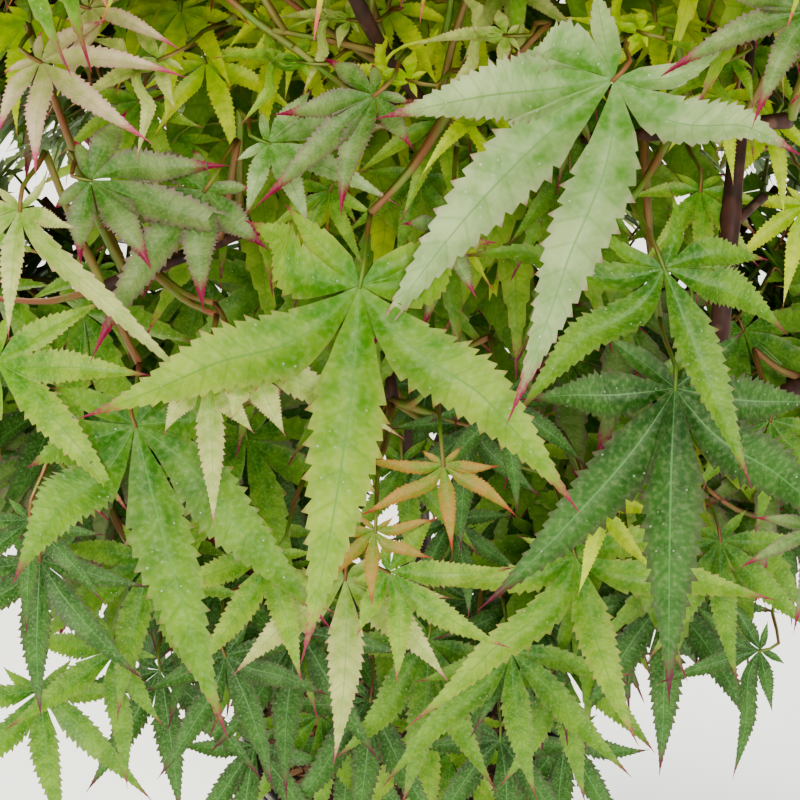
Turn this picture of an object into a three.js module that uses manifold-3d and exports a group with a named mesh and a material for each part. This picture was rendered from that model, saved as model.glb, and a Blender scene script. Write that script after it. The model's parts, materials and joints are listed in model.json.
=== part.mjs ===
// A young Japanese maple in a round nursery pot, in millimetres, +Z up.
// The origin is the centre of the pot's flat underside. The front of the plant is its -Y side.
import * as THREE from "three";
import { mergeVertices } from "three/addons/utils/BufferGeometryUtils.js";
import Module from "manifold-3d";

const wasm = await Module();
wasm.setup();

// Pot: a tapered body, a wider band above its shoulder and a lip round the rim
const potHeight = 125;
const potBaseRadius = 50;
const potShoulderRadius = 62;
const potRimRadius = 66;
const potWall = 2;
const potFloor = 3;
const potBandHeight = 18;
const potBandStep = 2.2;
const potLipReach = 3.2;
const potLipHeight = 4;
const potEdge = 1;
const potSides = 40;
const drainHoles = 6;
const drainHoleRadius = 4;
const drainHoleSides = 8;
const drainRingRadius = 0.72 * potBaseRadius;

// Compost, which fills the pot to below its rim
const fitGap = 0.3;
const compostLevel = potHeight - 12;
const compostMoundHeight = 4;
const compostMoundRadius = 48;
const trunkSeatRadius = 16;
const compostTop = compostLevel + compostMoundHeight;

// Trunk
const trunkFoot = compostTop + fitGap;
const trunkTipHeight = compostTop + 294;
const trunkFootRadius = 8.2;
const trunkTipRadius = 3;
const trunkTaper = 0.8;
const trunkSway = { x: 5, y: 4, turnsX: 6, turnsY: 4.4 };
const trunkLean = 4;
const rootFlare = 5;
const rootFlareHeight = 13;
const rootRidges = 3;
const rootRidgeShare = 0.35;
const graftSwelling = 1.6;
const graftHeight = compostTop + 32;
const graftSpread = 11;
const limbSides = 8;
const trunkSteps = 14;

// Boughs, in two tiers of three that stand between one another. Feet and tips are heights above the compost.
const boughFootRadius = 4.4;
const boughTipRadius = 2.6;
const boughSpread = 52;
const boughSteps = 8;
const boughTiers = {
  low: { foot: 48, footStep: 14, tip: 166, firstTurn: 210, elevation: -30, distance: 104 },
  high: { foot: 100, footStep: 16, tip: 256, firstTurn: 270, elevation: 16, distance: 100 },
};

// Crown, shared out among the masses by the walls halfway between their centres
const crownCentre = new THREE.Vector3(0, 0, compostTop + 284);
const crownReach = new THREE.Vector3(196, 196, 212);
const topMassDistance = 118;
const massGap = 0.8;
const crownSeed = 45;

// Twigs: one stem in each mass, twigs that fan out from it and a side twig on every second one
const stemRadius = 3.2;
const stemTipRadius = 3;
const stemShare = 0.8;
const stemStart = 8;
const stemBend = 0.45;
const stemBow = 6;
const twigRadius = 1.5;
const sideTwigRadius = 1.3;
const twigTipRadius = 1.3;
const twigSides = 3;
const twigsInMass = 9;
const lowestTwigShare = 0.5;
const widestLean = 84;
const longestTwig = 120;
const shortestTwig = 24;
const twigUpturn = 0.1;
const twigSway = 0.36;
const sideTwigEvery = 2;
const sideTwigShare = 0.48;
const sideTwigTurn = 0.6;
const longestSideTwig = 62;
const sideLeafScale = 0.88;
const twigChecks = 16;
const twigClearance = 1;
const goldenAngle = Math.PI * (3 - Math.sqrt(5));

// Leaves: a pair at each node. Where two numbers stand together, the seed picks between them.
const leafLength = 61;
const leafLengths = [0.88, 1.12];
const leafThickness = 2.2;
const leafRoom = 40;
const leafSpacing = 24;
const leafClearance = 2.2;
const nodeSpacing = 20;
const nodeTurn = 1.3;
const leafInset = 2;
const stalkRadius = 0.45;
const stalkLengths = [16, 34];
const stalkSideways = 0.8;
const stalkOutward = 0.4;
const stalkOnward = [0.4, 0.7];
const stalkRise = [0.15, 0.45];
const bladeOutward = 0.9;
const lowestHang = 50;
const highestHang = 18;
const hangSpread = [-12, 12];
const rollSpread = [-17, 17];
const droops = [0.08, 0.24];
const leastStalkBend = 0.25;
const leafTries = 40;
const leafTurn = 0.23;
const leafShrink = 0.007;

// One row for each lobe beside the middle one: angle from it, and length as a share of it
const sideLobes = [
  { angle: 38, share: 0.94 },
  { angle: 82, share: 0.7 },
];
const notchShare = 0.34;
const bladeFoot = { angle: 150, share: 0.06 };

const up = new THREE.Vector3(0, 0, 1);
const vector = (x, y, z) => new THREE.Vector3(x, y, z);
const mix = THREE.MathUtils.lerp;
const radians = THREE.MathUtils.degToRad;
const between = ([low, high], random) => mix(low, high, random());

const bark = new THREE.MeshStandardMaterial({ color: 0x4a3430, roughness: 0.8, metalness: 0 });
const greenLeaf = new THREE.MeshStandardMaterial({ color: 0x6f9a3c, roughness: 0.55, metalness: 0 });
const blackPlastic = new THREE.MeshStandardMaterial({ color: 0x17181b, roughness: 0.45, metalness: 0 });
const darkCompost = new THREE.MeshStandardMaterial({ color: 0x3a2a20, roughness: 0.95, metalness: 0 });

// Solids

function solidOf(geometry) {
  const bare = geometry.clone();
  bare.deleteAttribute("normal");
  bare.deleteAttribute("uv");
  const merged = mergeVertices(bare, 1e-4);
  return new wasm.Manifold(
    new wasm.Mesh({
      numProp: 3,
      vertProperties: merged.getAttribute("position").array,
      triVerts: new Uint32Array(merged.index.array),
    }),
  );
}

function meshOf(name, solid, material) {
  const made = solid.getMesh();
  const places = new Float32Array(made.numVert * 3);
  for (let i = 0; i < made.numVert; i++) {
    places.set(made.vertProperties.subarray(i * made.numProp, i * made.numProp + 3), i * 3);
  }
  const geometry = new THREE.BufferGeometry();
  geometry.setAttribute("position", new THREE.BufferAttribute(places, 3));
  geometry.setIndex(new THREE.BufferAttribute(new Uint32Array(made.triVerts), 1));
  geometry.computeVertexNormals();
  const mesh = new THREE.Mesh(geometry, material);
  mesh.name = name;
  return mesh;
}

// A turned solid about the Z axis, from (radius, height) pairs that run from the axis back to the axis.
function turned(profile) {
  const points = profile.map(([radius, height]) => new THREE.Vector2(radius, height));
  return solidOf(new THREE.LatheGeometry(points, potSides).rotateX(Math.PI / 2));
}

// A closed rod through points, with a radius for each point and for the angle round it.
function rodThrough(points, radiusAt, sides, flatFoot = false) {
  const steps = points.length - 1;
  const rod = new THREE.CylinderGeometry(1, 1, 1, sides, steps);
  const normal = vector(1, 0.01, 0.02);
  const frames = points.map((point, i) => {
    const tangent = points[Math.min(i + 1, steps)].clone().sub(points[Math.max(i - 1, 0)]).normalize();
    normal.addScaledVector(tangent, -normal.dot(tangent)).normalize();
    return { normal: normal.clone(), binormal: tangent.clone().cross(normal) };
  });
  const place = rod.getAttribute("position");
  for (let i = 0; i < place.count; i++) {
    const step = Math.round((place.getY(i) + 0.5) * steps);
    const radius = radiusAt(step / steps, Math.atan2(place.getZ(i), place.getX(i)));
    const at = points[step]
      .clone()
      .addScaledVector(frames[step].normal, place.getX(i) * radius)
      .addScaledVector(frames[step].binormal, -place.getZ(i) * radius);
    if (flatFoot && step === 0) at.z = points[0].z;
    place.setXYZ(i, at.x, at.y, at.z);
  }
  return solidOf(rod);
}

function stepAt(points, share) {
  return Math.min(Math.floor(share * (points.length - 1)), points.length - 2);
}

function along(points, share) {
  const step = stepAt(points, share);
  return points[step].clone().lerp(points[step + 1], share * (points.length - 1) - step);
}

function wayAt(points, share) {
  const step = stepAt(points, share);
  return points[step + 1].clone().sub(points[step]).normalize();
}

// Pot and compost

const shoulder = potHeight - potBandHeight;
const bodyRadiusAt = (height) => mix(potBaseRadius, potShoulderRadius, height / shoulder);
const bandRadiusAt = (height) => mix(potShoulderRadius + potBandStep, potRimRadius, (height - shoulder) / potBandHeight);

function makePot() {
  const lipRadius = potRimRadius + potLipReach;
  const shell = turned([
    [0, 0],
    [potBaseRadius - potEdge, 0],
    [bodyRadiusAt(potEdge), potEdge],
    [bodyRadiusAt(shoulder), shoulder],
    [bandRadiusAt(shoulder), shoulder + potEdge],
    [bandRadiusAt(potHeight - potLipHeight), potHeight - potLipHeight],
    [lipRadius, potHeight - potLipHeight],
    [lipRadius, potHeight - potEdge],
    [lipRadius - potEdge, potHeight],
    [potRimRadius - potWall + potEdge, potHeight],
    [potRimRadius - potWall, potHeight - potEdge],
    [bandRadiusAt(shoulder) - potWall, shoulder + potWall],
    [bodyRadiusAt(shoulder) - potWall, shoulder - potEdge],
    [bodyRadiusAt(potFloor) - potWall, potFloor],
    [0, potFloor],
  ]);
  const drills = Array.from({ length: drainHoles }, (_, i) => {
    const turn = (2 * Math.PI * (i + 0.5)) / drainHoles;
    return solidOf(
      new THREE.CylinderGeometry(drainHoleRadius, drainHoleRadius, 4 * potFloor, drainHoleSides)
        .rotateX(Math.PI / 2)
        .translate(Math.cos(turn) * drainRingRadius, Math.sin(turn) * drainRingRadius, 0),
    );
  });
  return drills.reduce((pot, drill) => pot.subtract(drill), shell);
}

function makeCompost() {
  const bottom = potFloor + fitGap;
  const inset = potWall + fitGap;
  return turned([
    [0, bottom],
    [bodyRadiusAt(potFloor) - inset, bottom],
    [bodyRadiusAt(shoulder) - inset, shoulder - potEdge],
    [bandRadiusAt(shoulder) - inset, shoulder + potWall],
    [bandRadiusAt(compostLevel) - inset, compostLevel],
    [compostMoundRadius, compostLevel + 1],
    [trunkSeatRadius, compostTop],
    [0, compostTop],
  ]);
}

// Trunk and boughs

class TrunkCurve extends THREE.Curve {
  getPoint(share) {
    return vector(
      trunkSway.x * Math.sin(trunkSway.turnsX * share) + trunkLean * share,
      trunkSway.y * Math.sin(trunkSway.turnsY * share),
      mix(trunkFoot, trunkTipHeight, share),
    );
  }
}
const trunkCurve = new TrunkCurve();

function trunkRadius(share, turn) {
  const height = share * (trunkTipHeight - trunkFoot);
  const ridges = 1 + rootRidgeShare * Math.cos(rootRidges * turn);
  const flare = rootFlare * ridges * Math.exp(-height / rootFlareHeight);
  const graft = graftSwelling * Math.exp(-(((trunkFoot + height - graftHeight) / graftSpread) ** 2));
  return mix(trunkFootRadius, trunkTipRadius, share ** trunkTaper) + flare + graft;
}

function makeTrunk(extra = 0) {
  return rodThrough(trunkLine, (share, turn) => trunkRadius(share, turn) + extra, limbSides, true);
}

// A bough leaves the trunk at a slant, swings outwards and rises to its tip.
function boughCurve(azimuth, footHeight, tipHeight) {
  const foot = trunkCurve.getPoint((footHeight - trunkFoot) / (trunkTipHeight - trunkFoot));
  const out = vector(Math.cos(azimuth), Math.sin(azimuth), 0);
  const rise = tipHeight - footHeight;
  return new THREE.CubicBezierCurve3(
    foot,
    foot.clone().addScaledVector(out, 0.5 * boughSpread).addScaledVector(up, 0.3 * rise),
    vector(0.85 * boughSpread * out.x, 0.85 * boughSpread * out.y, tipHeight - 0.4 * rise),
    vector(boughSpread * out.x, boughSpread * out.y, tipHeight),
  );
}

function boughRadius(share) {
  return mix(boughFootRadius, boughTipRadius, share);
}

function makeBough(limb, extra = 0) {
  return rodThrough(limb, (share) => boughRadius(share) + extra, limbSides);
}

// Crown

// A mass on the end of a limb, and the limb's middle from foot to tip.
function makeMass(name, azimuth, elevation, distance, limb) {
  const level = Math.cos(elevation) * distance;
  const centre = vector(Math.cos(azimuth) * level, Math.sin(azimuth) * level, Math.sin(elevation) * distance);
  const tipWay = limb.at(-1).clone().sub(limb.at(-2)).normalize();
  return { name, limb, tipWay, centre: centre.add(crownCentre) };
}

function makeTier(names, { foot, footStep, tip, firstTurn, elevation, distance }) {
  return names.map((name, i) => {
    const turn = radians(firstTurn + (360 / names.length) * i);
    const curve = boughCurve(turn, compostTop + foot + footStep * i, compostTop + tip);
    return makeMass(name, turn, radians(elevation), distance, curve.getPoints(boughSteps));
  });
}

const trunkLine = trunkCurve.getPoints(trunkSteps);
const boughMasses = [
  ...makeTier(["front", "right", "left"], boughTiers.high),
  ...makeTier(["low_left", "low_right", "low_back"], boughTiers.low),
];
const masses = [makeMass("top", 0, Math.PI / 2, topMassDistance, trunkLine), ...boughMasses];

// Every limb as balls along its middle, which leaves and twigs keep away from.
const limbBalls = masses.flatMap(({ limb }) => {
  const count = 6 * (limb.length - 1);
  return Array.from({ length: count + 1 }, (_, i) => ({
    middle: along(limb, i / count),
    radius: limb === trunkLine ? trunkRadius(i / count, 0) : boughRadius(i / count),
  }));
});

// The same numbers from 0 to 1 for the same seed.
function seeded(seed) {
  let state = seed >>> 0;
  return () => {
    state = (state + 0x6d2b79f5) >>> 0;
    let t = Math.imul(state ^ (state >>> 15), state | 1);
    t ^= t + Math.imul(t ^ (t >>> 7), t | 61);
    return ((t ^ (t >>> 14)) >>> 0) / 4294967296;
  };
}

// True where a point is in the crown and nearer to this mass's centre than to any other.
function inSpace(mass, point) {
  if (point.clone().sub(crownCentre).divide(crownReach).length() > 1) return false;
  return masses.every((other) => {
    if (other === mass) return true;
    const across = other.centre.clone().sub(mass.centre);
    const past = point.clone().sub(mass.centre).dot(across) / across.length();
    return past < (across.length() - massGap) / 2;
  });
}

function clearOfLimbs(point, clearance) {
  return limbBalls.every(({ middle, radius }) => middle.distanceTo(point) > radius + clearance);
}

// How far a twig may run from a point and leave room for its last leaves.
function roomAlong(mass, point, heading, longest) {
  let length = 0;
  while (length < longest + leafRoom && inSpace(mass, point.clone().addScaledVector(heading, length))) length += 3;
  return THREE.MathUtils.clamp(length - leafRoom, shortestTwig, longest);
}

// A twig's three points: it sways and turns upwards a little at each step.
function twigPath(start, heading, length, random) {
  const points = [start];
  const way = heading.clone();
  for (let i = 0; i < 2; i++) {
    const sway = vector(random() - 0.5, random() - 0.5, random() - 0.5).multiplyScalar(twigSway);
    way.addScaledVector(up, twigUpturn).add(sway).normalize();
    points.push(points[i].clone().addScaledVector(way, length / 2));
  }
  return points;
}

function twigFits(mass, points, radius) {
  return Array.from({ length: twigChecks }, (_, i) => along(points, (i + 1) / twigChecks)).every(
    (point) => inSpace(mass, point) && clearOfLimbs(point, radius + twigClearance),
  );
}

// A leaf's stalk leaves the twig sideways. Its blade lies outwards, hangs and rolls a little.
function leafAt(twig, share, turn, scale, random) {
  const foot = along(twig.points, share);
  const heading = wayAt(twig.points, share);
  const outward = foot.clone().sub(crownCentre).setZ(0).normalize();
  const stalkWay = heading
    .clone()
    .cross(up)
    .normalize()
    .applyAxisAngle(heading, turn)
    .multiplyScalar(stalkSideways)
    .addScaledVector(heading, between(stalkOnward, random))
    .addScaledVector(outward, stalkOutward)
    .addScaledVector(up, between(stalkRise, random))
    .normalize();
  const base = foot.clone().addScaledVector(stalkWay, between(stalkLengths, random) * scale);
  const height = THREE.MathUtils.clamp((base.z - crownCentre.z) / crownReach.z, -1, 1);
  const hang = radians(mix(lowestHang, highestHang, (height + 1) / 2) + between(hangSpread, random));
  const level = stalkWay.clone().setZ(0).normalize().addScaledVector(outward, bladeOutward).normalize();
  const forward = level.multiplyScalar(Math.cos(hang)).addScaledVector(up, -Math.sin(hang));
  const roll = radians(between(rollSpread, random));
  const normal = up.clone().addScaledVector(forward, -forward.z).normalize().applyAxisAngle(forward, roll);
  const length = leafLength * between(leafLengths, random) * scale;
  return { foot, base, stalkWay, forward, normal, length, droop: between(droops, random) };
}

// The blade's rim in turn round its foot, as angle from the middle lobe and share of the length.
const halfRim = [{ angle: 0, share: 1 }];
for (const lobe of sideLobes) {
  const last = halfRim.at(-1);
  halfRim.push({ angle: (last.angle + lobe.angle) / 2, share: notchShare * lobe.share }, lobe);
}
halfRim.push(bladeFoot);
const rim = [...halfRim.slice(1).reverse().map(({ angle, share }) => ({ angle: -angle, share })), ...halfRim];

// A point of the blade in space. The blade hangs more the further it is from its foot.
function bladePoint(leaf, { angle, share }, lift = 0) {
  const side = leaf.normal.clone().cross(leaf.forward);
  return leaf.base
    .clone()
    .addScaledVector(leaf.forward, Math.cos(radians(angle)) * share * leaf.length)
    .addScaledVector(side, Math.sin(radians(angle)) * share * leaf.length)
    .addScaledVector(leaf.normal, lift - leaf.droop * share * share * leaf.length);
}

// A leaf's solid: two fans from the middle of the blade to its rim, and a stalk that is sunk in the twig.
function leafSolid(leaf) {
  const top = bladePoint(leaf, { angle: 0, share: 0 }, leafThickness / 2);
  const bottom = bladePoint(leaf, { angle: 0, share: 0 }, -leafThickness / 2);
  const edge = rim.map((place) => bladePoint(leaf, place));
  const side = leaf.normal.clone().cross(leaf.stalkWay).normalize().multiplyScalar(stalkRadius);
  const lift = leaf.stalkWay.clone().cross(side);
  const root = [lift, lift.clone().add(side).negate(), side.clone().sub(lift)].map((way) => way.add(leaf.foot));
  const points = [top, bottom, ...edge, ...root];
  const last = edge.length + 1;
  const faces = [];
  for (let i = 2; i < last; i++) faces.push([0, i, i + 1], [1, i + 1, i]);
  const [high, left, right] = [last + 1, last + 2, last + 3];
  faces.push([0, high, 2], [2, high, left], [2, left, 1], [1, left, right]);
  faces.push([1, right, last], [last, right, high], [last, high, 0], [high, right, left]);
  const geometry = new THREE.BufferGeometry().setFromPoints(points);
  geometry.setIndex(faces.flat());
  return solidOf(geometry);
}

function boxOf(solid) {
  const { min, max } = solid.boundingBox();
  return new THREE.Box3(vector(...min), vector(...max));
}

function crosses(one, other) {
  return one.box.intersectsBox(other.box) && !one.solid.intersect(other.solid).isEmpty();
}

// True where all of the leaf is in the mass's space and off the limbs.
function leafFits(mass, leaf) {
  if (leaf.stalkWay.dot(leaf.forward) < leastStalkBend) return false;
  const stalk = [0.3, 0.65, 1].map((share) => leaf.foot.clone().lerp(leaf.base, share));
  const blade = rim.flatMap(({ angle, share }) =>
    [0.35, 0.7, 1].map((part) => bladePoint(leaf, { angle, share: part * share })),
  );
  return [...blade, ...stalk].every((point) => inSpace(mass, point) && clearOfLimbs(point, leafClearance));
}

function makeTwig(points, foot, tip, leafScale) {
  const solid = rodThrough(points, (share) => mix(foot, tip, share), twigSides);
  const length = points.at(-1).distanceTo(points[0]);
  return { points, length, leafScale, solid, box: boxOf(solid) };
}

// The one stem of a mass runs on from its limb's tip and bows towards the middle of the mass.
function growStem({ limb, tipWay, centre }) {
  const start = limb.at(-1).clone().addScaledVector(tipWay, fitGap);
  const end = start.clone().lerp(centre, stemShare);
  const bend = start.clone().lerp(end, stemBend).addScaledVector(tipWay, stemBow);
  return [start, start.clone().addScaledVector(tipWay, stemStart), bend, end];
}

function growSideTwig(mass, parent, side, random) {
  const way = wayAt(parent, sideTwigShare);
  const turn = Math.PI * side + between([-sideTwigTurn, sideTwigTurn], random);
  const across = way.clone().cross(up).normalize().applyAxisAngle(way, turn);
  const heading = way.add(across).normalize();
  const foot = along(parent, sideTwigShare);
  return twigPath(foot, heading, roomAlong(mass, foot, heading, longestSideTwig), random);
}

// The twigs of a mass fan out from its stem and branch once more. Each has its own seed.
function growTwigs(mass, seed) {
  const outward = mass.centre.clone().sub(crownCentre).normalize();
  const level = outward.clone().cross(Math.abs(outward.z) > 0.9 ? vector(1, 0, 0) : up).normalize();
  const stem = growStem(mass);
  const twigs = [];
  for (let k = 0; k < twigsInMass; k++) {
    const random = seeded(seed * 1000 + k * 10);
    const share = k / (twigsInMass - 1);
    const lean = radians(widestLean) * Math.sqrt(share);
    const ring = level.clone().applyAxisAngle(outward, seed + k * goldenAngle);
    const heading = outward.clone().multiplyScalar(Math.cos(lean)).addScaledVector(ring, Math.sin(lean));
    const foot = along(stem, mix(1, lowestTwigShare, share));
    const points = twigPath(foot, heading, roomAlong(mass, foot, heading, longestTwig), random);
    if (!twigFits(mass, points, twigRadius)) continue;
    twigs.push(makeTwig(points, twigRadius, twigTipRadius, 1));
    if (k % sideTwigEvery) continue;
    const sidePoints = growSideTwig(mass, points, (k / sideTwigEvery) % 2, random);
    if (!twigFits(mass, sidePoints, sideTwigRadius)) continue;
    twigs.push(makeTwig(sidePoints, sideTwigRadius, twigTipRadius, sideLeafScale));
  }
  return { stem: makeTwig(stem, stemRadius, stemTipRadius, 1), twigs };
}

// The first try at a place that fits: in its mass's space, off the limbs, and clear of the leaves and twigs so far.
function growLeaf(mass, twig, place, seed, leaves, others) {
  const node = Math.floor(place / 2);
  const fromTip = leafInset * (1 + (place % 2)) + node * nodeSpacing;
  for (let attempt = 0; attempt < leafTries; attempt++) {
    const swing = (attempt % 2 ? 1 : -1) * leafTurn * attempt;
    const turn = Math.PI * (place % 2) + nodeTurn * (node % 2) + swing;
    const scale = twig.leafScale * (1 - leafShrink * attempt);
    const leaf = leafAt(twig, 1 - fromTip / twig.length, turn, scale, seeded(seed + attempt));
    if (leaves.some((other) => other.base.distanceTo(leaf.base) < leafSpacing)) continue;
    if (!leafFits(mass, leaf)) continue;
    leaf.solid = leafSolid(leaf);
    leaf.box = boxOf(leaf.solid);
    if (![...leaves, ...others].some((other) => crosses(leaf, other))) return leaf;
  }
  return null;
}

// A pair of leaves at each node, from the twig's tip inwards. Each place has its own run of seeds.
function growLeaves(mass, { stem, twigs }, seed) {
  const leaves = [];
  twigs.forEach((twig, order) => {
    const others = [stem, ...twigs].filter((other) => other !== twig);
    const nodes = Math.max(1, Math.floor(twig.length / nodeSpacing));
    for (let place = 0; place < 2 * nodes; place++) {
      const leaf = growLeaf(mass, twig, place, seed * 100000 + order * 1000 + place * 50, leaves, others);
      if (leaf) leaves.push(leaf);
    }
  });
  return leaves;
}

// A mass is one solid. A scrap that doesn't touch the rest is dropped.
function makeFoliage(mass, seed) {
  const grown = growTwigs(mass, seed);
  const leaves = growLeaves(mass, grown, seed);
  const pieces = [grown.stem, ...grown.twigs, ...leaves].map(({ solid }) => solid);
  const parts = wasm.Manifold.union(pieces).decompose();
  return parts.sort((one, other) => other.volume() - one.volume())[0];
}

// Plant

const plant = new THREE.Group();
plant.add(meshOf("pot", makePot(), blackPlastic));
plant.add(meshOf("compost", makeCompost(), darkCompost));
plant.add(meshOf("trunk", makeTrunk(), bark));
let taken = makeTrunk(fitGap);
for (const { name, limb } of boughMasses) {
  plant.add(meshOf(`bough_${name}`, makeBough(limb).subtract(taken), bark));
  taken = taken.add(makeBough(limb, fitGap));
}
masses.forEach((mass, index) => {
  plant.add(meshOf(`foliage_${mass.name}`, makeFoliage(mass, crownSeed + index), greenLeaf));
});

export default plant;
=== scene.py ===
"""A young Japanese maple in a round nursery pot, dressed over its CAD frame.

Limbs, twigs and leaves grow by the rule of the part's source, in millimetres and with the same seeds. Here
the rule goes on to finer twigs and more leaves, and each leaf has its seven toothed lobes. The leaves nearest
to the camera stand where the photograph shows them, each on its own stalk and twig.
"""
import json
import logging
import math
from collections.abc import Callable
from dataclasses import dataclass, field
from enum import Enum
from functools import partial
from itertools import starmap
from math import cos, pi, radians, sin

import bmesh
import bpy
import numpy as np
from mathutils.bvhtree import BVHTree
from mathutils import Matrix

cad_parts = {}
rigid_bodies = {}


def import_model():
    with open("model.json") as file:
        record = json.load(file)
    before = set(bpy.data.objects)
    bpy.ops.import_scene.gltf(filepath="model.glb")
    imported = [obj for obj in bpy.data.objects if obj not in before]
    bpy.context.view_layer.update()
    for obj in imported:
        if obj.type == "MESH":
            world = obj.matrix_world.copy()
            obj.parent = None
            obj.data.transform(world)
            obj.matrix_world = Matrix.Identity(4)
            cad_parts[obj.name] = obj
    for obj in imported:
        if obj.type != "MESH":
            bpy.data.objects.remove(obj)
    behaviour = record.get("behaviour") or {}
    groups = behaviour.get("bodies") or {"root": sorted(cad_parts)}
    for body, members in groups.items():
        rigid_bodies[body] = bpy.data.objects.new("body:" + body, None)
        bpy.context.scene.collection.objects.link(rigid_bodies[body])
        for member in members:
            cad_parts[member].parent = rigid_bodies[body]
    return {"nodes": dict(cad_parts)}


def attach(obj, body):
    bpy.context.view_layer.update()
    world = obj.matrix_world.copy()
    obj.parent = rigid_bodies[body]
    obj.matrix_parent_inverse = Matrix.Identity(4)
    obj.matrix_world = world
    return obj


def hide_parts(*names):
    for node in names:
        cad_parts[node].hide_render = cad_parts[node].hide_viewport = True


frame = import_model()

LOG = logging.getLogger("maple")
Vec = np.ndarray
Piece = bpy.types.Object
Material = bpy.types.Material
Node = bpy.types.Node
NodeTree = bpy.types.NodeTree
Socket = bpy.types.NodeSocket
Adder = Callable[..., Node]
Place = tuple[float, float, float]
Pair = tuple[float, float]

MM = 0.001
UP = np.array([0.0, 0.0, 1.0])
RIGHTWARD = np.array([1.0, 0.0, 0.0])
# Gap in millimetres that the source keeps between parts that touch
FIT_GAP = 0.3
GOLDEN_ANGLE = pi * (3 - math.sqrt(5))
WORD = 0xFFFFFFFF


# Numbers and vectors


def mix(low: float, high: float, share: float) -> float:
    """Value at a share of the way from low to high."""
    return low + (high - low) * share


def unit(way: Vec) -> Vec:
    """The same direction with length 1."""
    return way / max(math.sqrt(float(way @ way)), 1e-12)


def norm(way: Vec) -> float:
    """Length of a step."""
    return float(np.linalg.norm(way))


def cross(one: Vec, other: Vec) -> Vec:
    """Cross product of two directions."""
    (a, b, c), (d, e, f) = one.tolist(), other.tolist()
    return np.array([b * f - c * e, c * d - a * f, a * e - b * d])


def turned(way: Vec, axis: Vec, angle: float) -> Vec:
    """A direction after a counter-clockwise turn in radians about a unit axis."""
    lift = axis * float(axis @ way) * (1 - cos(angle))
    return way * cos(angle) + cross(axis, way) * sin(angle) + lift


def step_at(points: list[Vec], share: float) -> int:
    """Index of the stretch of a path that holds this share of it."""
    return min(int(math.floor(share * (len(points) - 1))), len(points) - 2)


def along(points: list[Vec], share: float) -> Vec:
    """Point at a share of a path's points."""
    step = step_at(points, share)
    return points[step] + (points[step + 1] - points[step]) * (share * (len(points) - 1) - step)


def way_at(points: list[Vec], share: float) -> Vec:
    """Direction of a path at a share of its points."""
    step = step_at(points, share)
    return unit(points[step + 1] - points[step])


def smooth_path(points: list[Vec], count: int) -> list[Vec]:
    """A path through the same points without corners.

    Args:
        points: the path's points.
        count: number of points per stretch.

    Returns:
        The points of the smooth path.
    """
    ends = [2 * points[0] - points[1], *points, 2 * points[-1] - points[-2]]
    path = []
    for i in range(1, len(ends) - 2):
        a, b, c, d = ends[i - 1], ends[i], ends[i + 1], ends[i + 2]
        for t in np.linspace(0, 1, count, endpoint=False):
            bend = (2 * a - 5 * b + 4 * c - d) * t * t + (3 * b - a - 3 * c + d) * t**3
            path.append(0.5 * (2 * b + (c - a) * t + bend))
    return [*path, points[-1]]


class Seeded:
    """The same run of numbers from 0 to 1 for the same seed, as in the part's source."""

    def __init__(self, seed: int) -> None:
        """Starts the run at a seed."""
        self.state = seed & WORD

    def __call__(self) -> float:
        """Moves on to the next number.

        Returns:
            A number from 0 to 1.
        """
        self.state = (self.state + 0x6D2B79F5) & WORD
        t = ((self.state ^ (self.state >> 15)) * (self.state | 1)) & WORD
        t ^= (t + (((t ^ (t >> 7)) * (t | 61)) & WORD)) & WORD
        return ((t ^ (t >> 14)) & WORD) / (WORD + 1)

    def between(self, pair: Pair) -> float:
        """Next number between the two of a pair."""
        return mix(pair[0], pair[1], self())


# Meshes and nodes


@dataclass
class Patch:
    """Loose triangles, with the numbers that their materials read."""

    points: Vec
    faces: Vec
    slot: int = 0
    maps: dict[str, Vec] = field(default_factory=dict)


def joined_mesh(name: str, patches: list[Patch]) -> Piece:
    """One smooth object from many patches.

    Args:
        name: name of the object and its mesh.
        patches: patches in millimetres, all with the same maps.

    Returns:
        The new object, linked to the scene, in metres.
    """
    offsets = np.cumsum([0, *[len(p.points) for p in patches]])[:-1]
    points = np.concatenate([p.points for p in patches]) * MM
    faces = np.concatenate([p.faces + o for p, o in zip(patches, offsets)]).astype(np.int32)
    slots = np.concatenate([np.full(len(p.faces), p.slot, np.int32) for p in patches])
    mesh = bpy.data.meshes.new(name)
    mesh.vertices.add(len(points))
    mesh.vertices.foreach_set("co", points.astype(np.float32).ravel())
    mesh.loops.add(faces.size)
    mesh.loops.foreach_set("vertex_index", faces.ravel())
    mesh.polygons.add(len(faces))
    mesh.polygons.foreach_set("loop_start", np.arange(0, faces.size, 3, dtype=np.int32))
    mesh.polygons.foreach_set("material_index", slots)
    for key in patches[0].maps:
        values = np.concatenate([p.maps[key] for p in patches])[faces.ravel()]
        mesh.uv_layers.new(name=key).uv.foreach_set("vector", values.astype(np.float32).ravel())
    mesh.update(calc_edges=True)
    mesh.shade_smooth()
    mesh.validate()
    return linked(name, mesh)


def linked(name: str, data: bpy.types.ID) -> Piece:
    """A new object at the origin, with this mesh, light or camera, in the scene."""
    made = bpy.data.objects.new(name, data)
    bpy.context.scene.collection.objects.link(made)
    return made


def turns_of(sides: int) -> Vec:
    """Angles of the points of a ring."""
    return np.arange(sides) * (2 * pi / sides)


def level_ring(radius: float, height: float | Vec, sides: int) -> Vec:
    """Points of a ring about the upright axis."""
    turns = turns_of(sides)
    return np.stack([radius * np.cos(turns), radius * np.sin(turns), np.broadcast_to(height, sides)], 1)


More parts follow.
